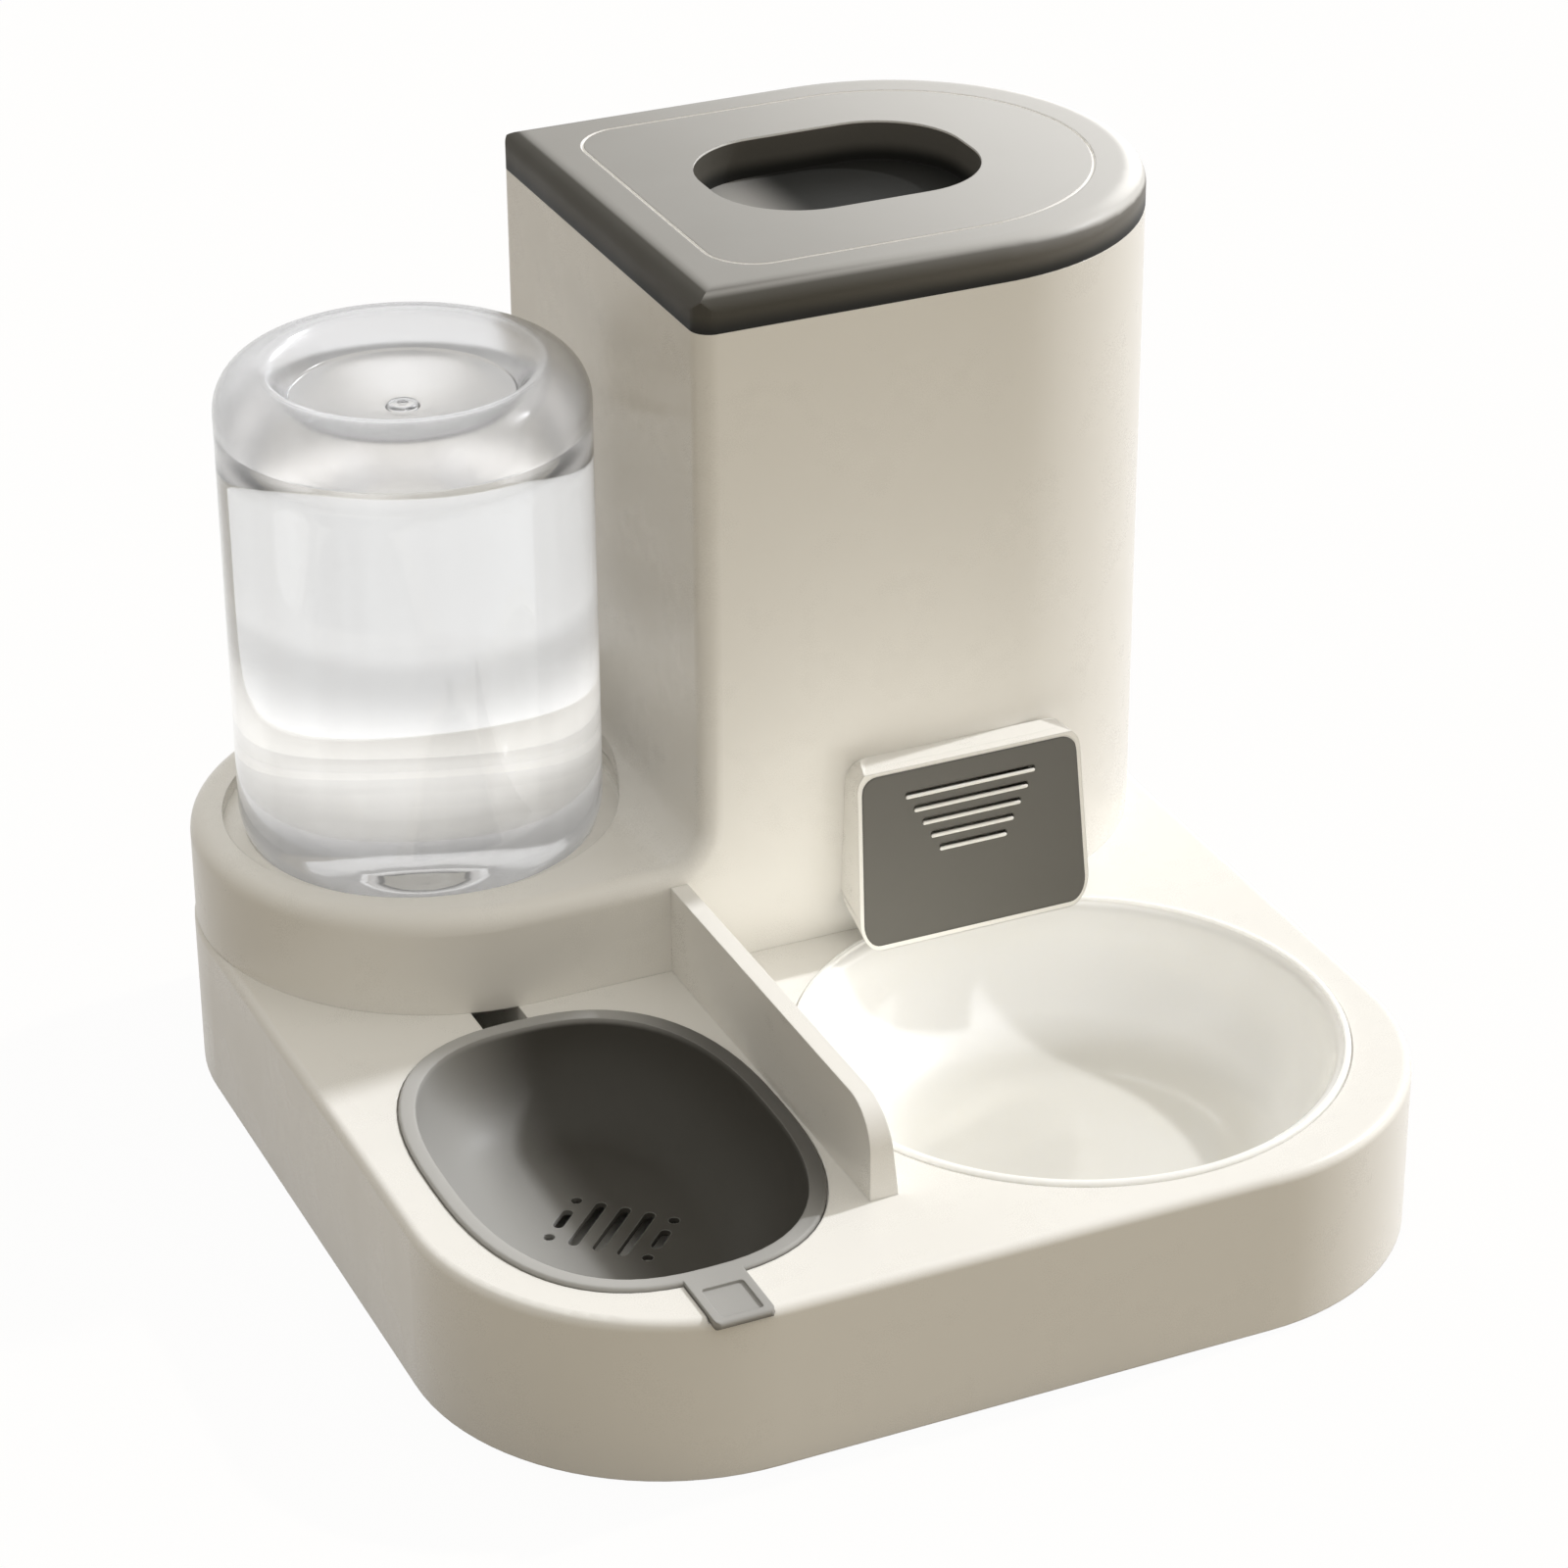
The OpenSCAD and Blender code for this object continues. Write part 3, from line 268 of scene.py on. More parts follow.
def make_fade():
    """A share that rises from 0 to 1 along X and another along Z."""
    tree, given, result = new_group(
        "fade", [("X Start", "Float", 0.0), ("X End", "Float", 0.1), ("Z Start", "Float", 0.0),
                 ("Z End", "Float", 0.1)], [("Along X", "Float"), ("Along Z", "Float")])
    place = split(tree, object_place(tree))
    for letter in "XZ":
        share = soft_step(tree, place[letter], given[f"{letter} Start"], given[f"{letter} End"])
        feed(tree, result, {f"Along {letter}": share})
    return tree


def make_fine_dust():
    """A mask of thin dust that lies on level faces and in patches."""
    tree, given, result = new_group(
        "fine dust", [("Patch Scale", "Float", 30.0), ("Amount", "Float", 0.2)], [("Dust", "Float")])
    spots = noise(tree, object_place(tree), given["Patch Scale"], detail=5.0, rough=0.65)
    patches = between(tree, spots, low=-0.6, high=1.6)
    lying = math_node(tree, "MULTIPLY", patches, level_faces(tree, sharpness=3.0), clamp=True)
    feed(tree, result, {"Dust": both(tree, lying, given["Amount"])})
    return tree


GLOW_WHITE = (1.0, 0.985, 0.965, 1)
NO_GLOW = (0, 0, 0, 1)
WATER_DARK = (0.70, 0.67, 0.655, 1)
WATER_CLEAR = (0.93, 0.91, 0.90, 1)
BAND_DEPTH = 0.008
BAND_WANDER = 0.004
STREAK_SQUEEZE = (1.0, 1.0, 0.06)


def make_water_painted_glow():
    """Painted glow on the water, strongest low down in the bottle and on its level top, and painted
    shade in a band and towards the foot.
    """
    tree, given, result = new_group(
        "water painted glow",
        [("Foot", "Float", 0.092), ("Low", "Float", 0.120), ("High", "Float", 0.150),
         ("Low Light", "Float", 0.60), ("Foot Light", "Float", 0.16), ("Top Light", "Float", 0.32),
         ("Band", "Float", 0.160), ("Band Shade", "Float", 0.74), ("Foot Shade", "Float", 0.92),
         ("Streak Scale", "Float", 60.0)],
        [("Glow", "Color"), ("Tint", "Color")])
    place = object_place(tree)
    wander = between(tree, noise(tree, place, scale=12.0, detail=1.0), -BAND_WANDER, BAND_WANDER)
    height = math_node(tree, "ADD", split(tree, place)["Z"], wander)
    lowest = (given["Foot"], given["Low"])
    lower = (given["Low"], given["High"])
    fall = map_range(tree, height, lower, (given["Low Light"], 0.0), "SMOOTHSTEP")
    rise = map_range(tree, height, lowest, (given["Foot Light"], given["Low Light"]), "SMOOTHSTEP")
    surface = both(tree, level_faces(tree, sharpness=4.0), given["Top Light"])
    share = either(tree, math_node(tree, "MINIMUM", fall, rise), surface)
    drawn = put(tree, "Mapping", {"Vector": place, "Scale": STREAK_SQUEEZE}).outputs["Vector"]
    streaks = noise(tree, drawn, given["Streak Scale"], detail=3.0)
    share = both(tree, share, between(tree, streaks, low=0.85, high=1.15))
    # Painted shade: a darker band below the glow, and darker towards the foot.
    band_foot = math_node(tree, "SUBTRACT", given["Band"], BAND_DEPTH)
    band = (band_foot, given["Band"])
    shade = map_range(tree, height, band, (given["Band Shade"], 1.0), "SMOOTHSTEP")
    sole = map_range(tree, height, lowest, (given["Foot Shade"], 1.0))
    clear = blend_colour(tree, streaks, WATER_DARK, WATER_CLEAR)
    shade = both(tree, shade, sole)
    shaded_tint = put(tree, "VectorMath", {0: clear, "Scale": shade}, operation="SCALE")
    feed(tree, result, {
        "Glow": blend_colour(tree, share, NO_GLOW, GLOW_WHITE), "Tint": shaded_tint.outputs[0]})
    return tree


MOULDED_SKIN = make_moulded_skin()
SOFT_EDGE = make_soft_edge()
FACING = make_facing()
FADE = make_fade()
FINE_DUST = make_fine_dust()
WATER_PAINTED_GLOW = make_water_painted_glow()


# Plastics

DUST_COLOUR = (0.55, 0.54, 0.52, 1)
DUST_ROUGHENS = 0.4
GRAIN_DEPTH = 0.0003


def new_material(name, settings):
    """A material with one Principled BSDF, whose constant values are set on its own sockets."""
    material = bpy.data.materials.new(name)
    material.use_nodes = True
    tree = material.node_tree
    tree.nodes.clear()
    shader = tree.nodes.new("ShaderNodeBsdfPrincipled")
    output = tree.nodes.new("ShaderNodeOutputMaterial")
    tree.links.new(shader.outputs["BSDF"], output.inputs["Surface"])
    for label, value in settings.items():
        shader.inputs[label].default_value = value
    return material, tree, shader


def relief(tree, height, strength, depth, normal=None):
    """The normal of a surface with fine relief, laid over another normal where one is given."""
    links = {"Strength": strength, "Distance": depth, "Height": height}
    if normal is not None:
        links["Normal"] = normal
    return put(tree, "Bump", links).outputs["Normal"]


def moulded_plastic(name, colour, cloud, gloss, settings, grain=2500.0, bump=0.04, wave=0.5,
                    edge_colour=None, edge_radius=0.0006, dust=0.0, paint=None):
    """Moulded plastic. paint is a function that paints light and shade into the colour over one
    piece.
    """
    material, tree, shader = new_material(name, settings)
    skin = place_group(tree, MOULDED_SKIN, Colour=(*colour, 1), Cloud_Colour=(*cloud, 1),
                       Gloss_Low=gloss[0], Gloss_High=gloss[1], Grain_Scale=grain, Wave_Share=wave)
    edge = place_group(tree, SOFT_EDGE, Radius=edge_radius)
    shown = skin["Colour"]
    rough = skin["Roughness"]
    # edge_colour is painted onto the sharp edges: where it is lighter than the plastic it is a
    # painted highlight, and on the chute plate the edges are darker.
    if edge_colour:
        shown = blend_colour(tree, edge["Edge"], shown, (*edge_colour, 1))
    if paint:
        shown = paint(tree, shown)
    if dust:
        dust_and_sheen = place_group(tree, FINE_DUST, Amount=dust)["Dust"]
        shown = blend_colour(tree, dust_and_sheen, shown, DUST_COLOUR)
        rough = math_node(tree, "ADD", rough, both(tree, dust_and_sheen, DUST_ROUGHENS), clamp=True)
    feed(tree, shader, {
        "Base Color": shown, "Roughness": rough,
        "Normal": relief(tree, skin["Height"], bump, GRAIN_DEPTH, edge["Normal"])})
    return material


# Lid's painted light and shade, with heights below the lid's top

LID_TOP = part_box("lid")[1][2]
LIT_SIDE = (0.53, 0.0, 0.85)
LID_SIDE_LIT_RIGHT = (0.19, 0.182, 0.167, 1)
LIT_TOP_GREY = (0.33, 0.322, 0.305, 1)
LIT_TOP_PALE = (0.66, 0.655, 0.64, 1)
PAINTED_HIGHLIGHT = (0.93, 0.925, 0.91, 1)
LINE_PALE = (0.97, 0.96, 0.94, 1)
POCKET_SHADE = (0.02, 0.02, 0.018, 1)
POCKET_BELOW = (0.011, 0.006)
LINE_FLOOR_BELOW = (0.0004, 0.0002)
LINE_WALL_BELOW = (0.0007, 0.00055)


def under_lid_top(below):
    """The heights at which a fade starts and ends, given as depths below the lid's top."""
    return {"Z_Start": LID_TOP - below[0], "Z_End": LID_TOP - below[1]}


def lid_painted_light_and_shade(tree, shown):
    """Painted light and shade: a pale sheen on faces that look up and right towards the light, paler
    to the right with a painted highlight on the right edge, a pale groove line painted over its
    walls' shade, and a painted shadow in the finger pocket.
    """
    # Painted light: a pale sheen on faces towards the light, paler to the right, with a painted
    # highlight on the right edge.
    dust_and_sheen = place_group(tree, FACING, Toward=LIT_SIDE, None_Below=0.64, Full_Above=0.84)["Facing"]
    highlight = place_group(tree, FACING, Toward=LIT_SIDE, None_Below=0.88, Full_Above=0.97)["Facing"]
    fade = place_group(tree, FADE, X_Start=-0.02, X_End=0.17, **under_lid_top(POCKET_BELOW))
    pale = blend_colour(tree, fade["Along X"], LIT_TOP_GREY, LIT_TOP_PALE)
    pale = blend_colour(tree, highlight, pale, PAINTED_HIGHLIGHT)
    # Painted light: the lid's dark sides grow lighter towards the right.
    shown = blend_colour(tree, fade["Along X"], shown, LID_SIDE_LIT_RIGHT)
    shown = blend_colour(tree, dust_and_sheen, shown, pale)

    # A pale groove line: its floor and walls are painted pale over their shade.
    level = place_group(tree, FACING, None_Below=0.999, Full_Above=0.9999)["Facing"]
    floor = place_group(tree, FADE, **under_lid_top(LINE_FLOOR_BELOW))["Along Z"]
    sunk = both(tree, remainder(tree, floor), level)
    steep = remainder(tree, place_group(tree, FACING, None_Below=0.3, Full_Above=0.6)["Facing"])
    wall = both(tree, steep, place_group(tree, FADE, **under_lid_top(LINE_WALL_BELOW))["Along Z"])
    shown = blend_colour(tree, either(tree, sunk, wall), shown, LINE_PALE)

    # Painted shadow in the finger pocket, darkest at its right end.
    right = place_group(tree, FADE, X_Start=0.030, X_End=0.052)["Along X"]
    pocket = blend_colour(tree, right, LIT_TOP_GREY, POCKET_SHADE)
    pocket = blend_colour(tree, level, POCKET_SHADE, pocket)
    return blend_colour(tree, fade["Along Z"], pocket, shown)


# Painted light and shade on the bowls

WATER_BOWL_LIT_LEFT = (0.38, 0.375, 0.36, 1)
WATER_BOWL_LIT_RIM = (0.50, 0.495, 0.48, 1)
FOOD_BOWL_FLOOR_SHADE = (0.60, 0.585, 0.54, 1)


def water_bowl_painted_light(tree, shown):
    """Painted light: paler on the left side, where the light falls, and round the rim, most on the
    left.
    """
    fade = place_group(tree, FADE, X_Start=-0.112, X_End=-0.078, Z_Start=0.0505, Z_End=0.0525)
    # Painted light on the lit left side of the bowl.
    shown = blend_colour(tree, fade["Along X"], WATER_BOWL_LIT_LEFT, shown)
    far = place_group(tree, FADE, X_Start=-0.06, X_End=-0.036)["Along X"]
    # Painted light on the rim, strongest on the left.
    rim = both(tree, fade["Along Z"], between(tree, far, low=0.75, high=0.15))
    return blend_colour(tree, rim, shown, WATER_BOWL_LIT_RIM)


def food_bowl_painted_shade(tree, shown):
    """Painted shade: a greyer floor."""
    floor = place_group(tree, FACING, None_Below=0.72, Full_Above=1.0)["Facing"]
    high = place_group(tree, FADE, Z_Start=0.03, Z_End=0.04)["Along Z"]
    # Painted shade on the bowl's floor, below the fade height.
    return blend_colour(tree, both(tree, floor, remainder(tree, high)), shown, FOOD_BOWL_FLOOR_SHADE)


# Clear bottle and water

BOTTLE_TINT = (0.95, 0.96, 0.965, 1)
HEEL_TINT = (0.91, 0.91, 0.915, 1)
HEEL_HAZE = 0.16
DRAW_SQUEEZE = (1.0, 1.0, 0.25)
BOTTLE_SHADE = 0.04
WATER_SHADE = 0.02
NO_TINT = (1, 1, 1, 1)


def let_light_through(tree, shader, kept):
    """Soft light and shadows pass a clear piece, which keeps back only a small share of them."""
    path = put(tree, "LightPath").outputs
    soft = either(tree, path["Is Shadow Ray"], path["Is Diffuse Ray"])
    feed(tree, shader, {"Alpha": between(tree, soft, low=1.0, high=kept)})


def make_bottle_plastic():
    """Blown bottle plastic: hazy round the heel, with faint upright draw marks."""
    material, tree, shader = new_material("clear bottle plastic", {
        "IOR": 1.46, "Transmission Weight": 1.0})
    place = object_place(tree)
    heel = place_group(tree, FADE, Z_Start=0.203, Z_End=0.215)["Along Z"]
    drawn = put(tree, "Mapping", {"Vector": place, "Scale": DRAW_SQUEEZE}).outputs["Vector"]
    rough = between(tree, noise(tree, place, scale=25.0, detail=3.0), low=0.01, high=0.05)
    feed(tree, shader, {
        "Base Color": blend_colour(tree, heel, BOTTLE_TINT, HEEL_TINT),
        "Roughness": math_node(tree, "ADD", rough, both(tree, heel, HEEL_HAZE)),
        "Normal": relief(tree, noise(tree, drawn, scale=60.0), strength=0.12, depth=0.0006)})
    let_light_through(tree, shader, BOTTLE_SHADE)
    return material


def make_water():
    """Clear water with faint ripples, and a painted glow and painted shade on its outer faces only.
    """
    material, tree, shader = new_material("water", {
        "IOR": 1.333, "Transmission Weight": 1.0, "Emission Strength": 1.0})
    place = object_place(tree)
    ripples = noise(tree, place, scale=90.0, detail=1.0)
    glow = place_group(tree, WATER_PAINTED_GLOW)
    behind = put(tree, "NewGeometry").outputs["Backfacing"]
    feed(tree, shader, {
        "Base Color": blend_colour(tree, behind, glow["Tint"], NO_TINT),
        "Emission Color": blend_colour(tree, behind, glow["Glow"], NO_GLOW),
        "Roughness": between(tree, noise(tree, place, scale=40.0), low=0.0, high=0.01),
        "Normal": relief(tree, ripples, strength=0.02, depth=0.0004)})
    let_light_through(tree, shader, WATER_SHADE)
    return material


# Steel

STAIN_SHARE = 0.75


def make_drawn_steel(name, colour):
    """Steel with fine marks from drawing or plating."""
    material, tree, shader = new_material(name, {"Metallic": 1.0, "IOR": 2.5})
    place = object_place(tree)
    marks = noise(tree, place, scale=1800.0, detail=3.0)
    stains = noise(tree, place, scale=220.0, detail=3.0)
    stained = (*(STAIN_SHARE * part for part in colour), 1)
    edge = place_group(tree, SOFT_EDGE, Radius=0.00015)
    feed(tree, shader, {
        "Base Color": blend_colour(tree, stains, (*colour, 1), stained),
        "Roughness": between(tree, marks, low=0.18, high=0.42),
        "Normal": relief(tree, marks, strength=0.05, depth=0.0001, normal=edge["Normal"])})
    return material


# All materials, one for each of the record's slots

def make_materials():
    return {
        "cream_plastic": moulded_plastic(
            "cream tray and housing plastic",
            colour=(0.88, 0.865, 0.825), cloud=(0.855, 0.835, 0.785),
            gloss=(0.24, 0.34), wave=0.8, edge_colour=(0.91, 0.90, 0.87), settings={"IOR": 1.5}),
        "food_bowl_plastic": moulded_plastic(
            "milky bowl plastic", colour=(0.91, 0.90, 0.865), cloud=(0.89, 0.88, 0.845),
            gloss=(0.16, 0.26), grain=3500.0, bump=0.02, paint=food_bowl_painted_shade,
            settings={"IOR": 1.5, "Coat Weight": 0.5, "Coat Roughness": 0.08,
                      # The emission is a painted glow, which lightens the bowl's shaded inside.
                      "Emission Color": (1.0, 0.97, 0.88, 1), "Emission Strength": 0.14,
                      "Subsurface Weight": 0.6, "Subsurface Scale": 0.009,
                      "Subsurface Radius": (1.0, 0.95, 0.85)}),
        "water_bowl_plastic": moulded_plastic(
            "smoke grey bowl plastic", colour=(0.075, 0.071, 0.062), cloud=(0.065, 0.061, 0.053),
            gloss=(0.4, 0.5), grain=3500.0, bump=0.03, edge_colour=(0.36, 0.36, 0.34),
            paint=water_bowl_painted_light, settings={"IOR": 1.5, "Specular IOR Level": 0.15}),
        "lid_plastic": moulded_plastic(
            "lid grey plastic", colour=(0.075, 0.07, 0.058), cloud=(0.067, 0.062, 0.052),
            gloss=(0.42, 0.56), grain=4200.0, bump=0.12, edge_colour=(0.20, 0.195, 0.18),
            paint=lid_painted_light_and_shade, settings={"IOR": 1.5, "Specular IOR Level": 0.12,
                                         "Coat Weight": 0.08, "Coat Roughness": 0.3}),
        "panel_plastic": moulded_plastic(
            "chute plate plastic", colour=(0.125, 0.12, 0.105), cloud=(0.11, 0.105, 0.091),
            gloss=(0.32, 0.46), grain=4200.0, bump=0.12, edge_colour=(0.06, 0.057, 0.048),
            edge_radius=0.0009, dust=0.06, settings={"IOR": 1.5}),
        "valve_plastic": moulded_plastic(
            "valve plastic", colour=(0.82, 0.82, 0.80), cloud=(0.78, 0.78, 0.76),
            gloss=(0.3, 0.42), edge_colour=(0.88, 0.88, 0.86), edge_radius=0.0003,
            settings={"IOR": 1.5}),
        "silicone": moulded_plastic(
            "seal silicone", colour=(0.72, 0.72, 0.70), cloud=(0.66, 0.66, 0.64),
            gloss=(0.45, 0.6), edge_radius=0.0002,
            settings={"IOR": 1.41, "Subsurface Weight": 0.2, "Subsurface Scale": 0.002}),
        "foot_rubber": moulded_plastic(
            "foot rubber", colour=(0.035, 0.035, 0.035), cloud=(0.05, 0.05, 0.048),
            gloss=(0.6, 0.8), grain=1500.0, bump=0.3, edge_radius=0.0004, dust=0.3,
            settings={"IOR": 1.5}),
        "spring_steel": make_drawn_steel("spring steel", (0.62, 0.62, 0.64)),
        "screw_steel": make_drawn_steel("zinc plated steel", (0.58, 0.58, 0.60)),
        "bottle_clear": make_bottle_plastic(),
    }


def wear(piece, material):
    piece.data.materials.clear()
    piece.data.materials.append(material)


# Smooth shading of faceted pieces

CORNERS_JOIN = 0.000004


def make_smooth_by_angle():
    """Joins the facets' corners and smooths the shading where faces meet at less than Angle."""
    tree = bpy.data.node_groups.new("smooth by angle", "GeometryNodeTree")
    tree.interface.new_socket("Geometry", in_out="INPUT", socket_type="NodeSocketGeometry")
    angle = tree.interface.new_socket("Angle", in_out="INPUT", socket_type="NodeSocketFloat")
    tree.interface.new_socket("Geometry", in_out="OUTPUT", socket_type="NodeSocketGeometry")
    given = tree.nodes.new("NodeGroupInput").outputs
    result = tree.nodes.new("NodeGroupOutput")
    joined = add_node(tree, "GeometryNodeMergeByDistance",
                      {"Geometry": given["Geometry"], "Distance": CORNERS_JOIN})
    bare = add_node(tree, "GeometryNodeRemoveAttribute",
                    {"Geometry": joined.outputs[0], "Name": "custom_normal"})
    smooth = add_node(tree, "GeometryNodeSetShadeSmooth",
                      {0: bare.outputs[0], "Shade Smooth": True}, domain="FACE")
    fold = tree.nodes.new("GeometryNodeInputMeshEdgeAngle").outputs["Unsigned Angle"]
    sharp = add_node(tree, "FunctionNodeCompare", {0: fold, 1: given["Angle"]},
                     data_type="FLOAT", operation="GREATER_THAN")
    edges = add_node(tree, "GeometryNodeSetShadeSmooth",
                     {0: smooth.outputs[0], "Selection": sharp.outputs[0], "Shade Smooth": False},
                     domain="EDGE")
    feed(tree, result, {"Geometry": edges.outputs[0]})
    return tree, angle.identifier


SMOOTH_BY_ANGLE, ANGLE_SOCKET = make_smooth_by_angle()


def smooth_shading(piece, degrees):
    modifier = piece.modifiers.new("smooth by angle", "NODES")
    modifier.node_group = SMOOTH_BY_ANGLE
    modifier[ANGLE_SOCKET] = math.radians(degrees)
    weighted = piece.modifiers.new("even normals", "WEIGHTED_NORMAL")
    weighted.keep_sharp = True


# Turned pieces

ON_AXIS = 1e-6


def share_between(value, low, high):
    return min(max((value - low) / (high - low), 0.0), 1.0)


def curve_through(points, steps):
    """Points on a smooth curve through the given (radius, height) points."""
    ends = [points[0], *points, points[-1]]
    made = []
    for k in range(len(points) - 1):
        a, b, c, d = (Vector(p) for p in ends[k:k + 4])
        for i in range(steps):
            t = i / steps
            made.append(0.5 * ((2 * b) + (c - a) * t + (2 * a - 5 * b + 4 * c - d) * t * t
                               + (3 * b - a - 3 * c + d) * t * t * t))
    made.append(Vector(points[-1]))
    return [(p[0], p[1]) for p in made]


def angles_round(sides):
    return [2 * math.pi * i / sides for i in range(sides)]


def join_rings(mesh, low, high):
    """Faces between two rings of points, or between a ring and a single point on the axis."""
    sides = max(len(low), len(high))
    for i in range(sides):
        j = (i + 1) % sides
        if len(low) == 1:
            face = (low[0], high[j], high[i])
        elif len(high) == 1:
            face = (low[i], low[j], high[0])
        else:
            face = (low[i], low[j], high[j], high[i])
        mesh.faces.new(face)


def finish_mesh(name, mesh):
    """Turns a bmesh into a smooth-shaded piece."""
    bmesh.ops.recalc_face_normals(mesh, faces=mesh.faces)
    data = bpy.data.meshes.new(name)
    mesh.to_mesh(data)
    mesh.free()
    data.shade_smooth()
    return link_object(name, data)


def turn_profile(name, profile, centre, sides=192):
    """A solid of revolution whose closed profile starts and ends on the axis or joins up."""
    mesh = bmesh.new()
    rings = []
    for radius, height in profile:
        if radius < ON_AXIS:
            rings.append([mesh.verts.new((centre[0], centre[1], height * MM))])
        else:
            rings.append([mesh.verts.new((centre[0] + radius * MM * math.cos(a),
                                          centre[1] + radius * MM * math.sin(a), height * MM))
                          for a in angles_round(sides)])
    closed = len(rings[0]) > 1 and len(rings[-1]) > 1
    for low, high in zip(rings, rings[1:] + (rings[:1] if closed else [])):
        join_rings(mesh, low, high)
    return finish_mesh(name, mesh)


# Bottle: sizes in millimetres, as the frame's own bottle has them

BOTTLE_AXIS = (-0.0805, 0.0865)
BOTTLE_RADIUS = 54.5
BOTTLE_WALL = 1.2
MOUTH_HEIGHT = 44.0
MOUTH_EDGE = 0.2
NECK_RADIUS = 15.0
NECK_RING = ((0.0, 58.6), (1.7, 58.6), (2.0, 58.9), (2.0, 59.9), (1.7, 60.2), (0.0, 60.2))
SHOULDER_FOOT = 62.0
WALL_FOOT = 88.0
WALL_TOP = 213.0
WALL_STEPS = 8
HEEL_HEIGHT = 13.5
RING_RADIUS = 42.0
BASE_DISH = ((42.0, 226.5), (39.5, 225.7), (37.0, 223.0), (33.6, 217.5), (31.6, 216.3),
             (21.6, 214.5), (10.0, 212.9), (5.0, 212.5), (4.0, 213.5), (0.0, 213.9))
BASE_DISH_STEPS = 4
WATER_LEVEL = 208.5
WATER_FOOT = 54.5
WATER_BITE = 0.5
WATER_EDGE = ((0.0, 0.8), (1.2, 0.15), (3.0, 0.0))
WATER_SIDE_STOPS = 1.0


def quarter_turn(steps):
    return [math.pi / 2 * i / steps for i in range(steps + 1)]


def bottle_curve(inset, steps=16):
    """The bottle's wall from the neck to the base, moved in by inset."""
    reach = BOTTLE_RADIUS - NECK_RADIUS
    heel = BOTTLE_RADIUS - RING_RADIUS
    rise = WALL_FOOT - SHOULDER_FOOT
    shoulder = [(NECK_RADIUS - inset + reach * math.sin(a), WALL_FOOT - (rise - inset) * math.cos(a))
                for a in quarter_turn(steps)]
    wall = [(BOTTLE_RADIUS - inset, WALL_FOOT + (WALL_TOP - WALL_FOOT) * i / WALL_STEPS)
            for i in range(1, WALL_STEPS)]
    heel_turn = [(RING_RADIUS + (heel - inset) * math.cos(a),
                  WALL_TOP + (HEEL_HEIGHT - inset) * math.sin(a)) for a in quarter_turn(steps)]
    dish = curve_through([(r, z - inset) for r, z in BASE_DISH], BASE_DISH_STEPS)
    return shoulder + wall + heel_turn + dish[1:]


def make_bottle():
    neck_ring = [(NECK_RADIUS + out, height) for out, height in NECK_RING]
    outside = [(NECK_RADIUS - MOUTH_EDGE, MOUTH_HEIGHT), (NECK_RADIUS, MOUTH_HEIGHT + MOUTH_EDGE),
               *neck_ring, *bottle_curve(0)]
    inside = [(NECK_RADIUS - BOTTLE_WALL, MOUTH_HEIGHT), *bottle_curve(BOTTLE_WALL)]
    return turn_profile("clear_bottle", outside + inside[::-1][1:], BOTTLE_AXIS)


def make_bottle_water():
    """The water, which reaches a little into the bottle's wall so that no air shows between them."""
    inset = BOTTLE_WALL - WATER_BITE
    radius = BOTTLE_RADIUS - inset
    neck = [(0.0, WATER_FOOT), (NECK_RADIUS - inset, WATER_FOOT)]
    side = [point for point in bottle_curve(inset) if point[1] < WATER_LEVEL - WATER_SIDE_STOPS]
    edge = [(radius - inward, WATER_LEVEL + up) for inward, up in WATER_EDGE]
    return turn_profile("bottle_water", [*neck, *side, *edge, (0.0, WATER_LEVEL)], BOTTLE_AXIS)


# Food bowl: sizes in millimetres, as the frame's own bowl has them, with a finer stepped rim

FOOD_BOWL_AXIS = (0.0584, -0.0692)
BOWL_SIDES = 256
BOWL_FLAT_RADIUS = 36.8
BOWL_CURVE_RADIUS = 38.0
BOWL_FLOOR = 14.0
BOWL_WALL = 1.8
BOWL_INSIDE_TURN = 78
BOWL_OUTSIDE_TURN = 88
BOWL_FOOT_RING = ((30.0, 12.2), (30.0, 10.7), (31.8, 10.7), (31.8, 12.2))
BOWL_RIM_EDGE = ((76.6, 50.8), (80.2, 50.8), (80.2, 52.2), (80.12, 52.58), (79.91, 52.91),
                 (79.58, 53.12), (79.2, 53.2))
BOWL_RIM_STEP = ((78.45, 53.2), (78.25, 53.12), (78.15, 52.95), (78.15, 52.45), (78.1, 52.3),
                 (77.9, 52.2), (77.1, 52.0), (76.2, 51.3), (75.5, 49.8), (74.9, 47.4))


def bowl_curve(outward, last, steps=40):
    """The bowl's rounded wall, from its flat floor up, moved out by outward."""
    reach = BOWL_CURVE_RADIUS + outward
    turns = (math.radians(last) * i / steps for i in range(steps + 1))
    return [(BOWL_FLAT_RADIUS + reach * math.sin(a),
             BOWL_FLOOR + BOWL_CURVE_RADIUS - reach * math.cos(a)) for a in turns]


def make_food_bowl():
    outside = [(0.0, BOWL_FLOOR - BOWL_WALL), *BOWL_FOOT_RING,
               *bowl_curve(BOWL_WALL, BOWL_OUTSIDE_TURN)]
    inside = [*bowl_curve(0.0, BOWL_INSIDE_TURN)[::-1], (0.0, BOWL_FLOOR)]
    return turn_profile("milky_bowl", [*outside, *BOWL_RIM_EDGE, *BOWL_RIM_STEP, *inside],
                        FOOD_BOWL_AXIS, BOWL_SIDES)


# Valve spring: sizes in millimetres, as the frame's own spring has them

SPRING_RADIUS = 4.33
SPRING_WIRE = 0.45
SPRING_FOOT = 33.0
SPRING_TOP = 40.0
SPRING_TURNS = 4


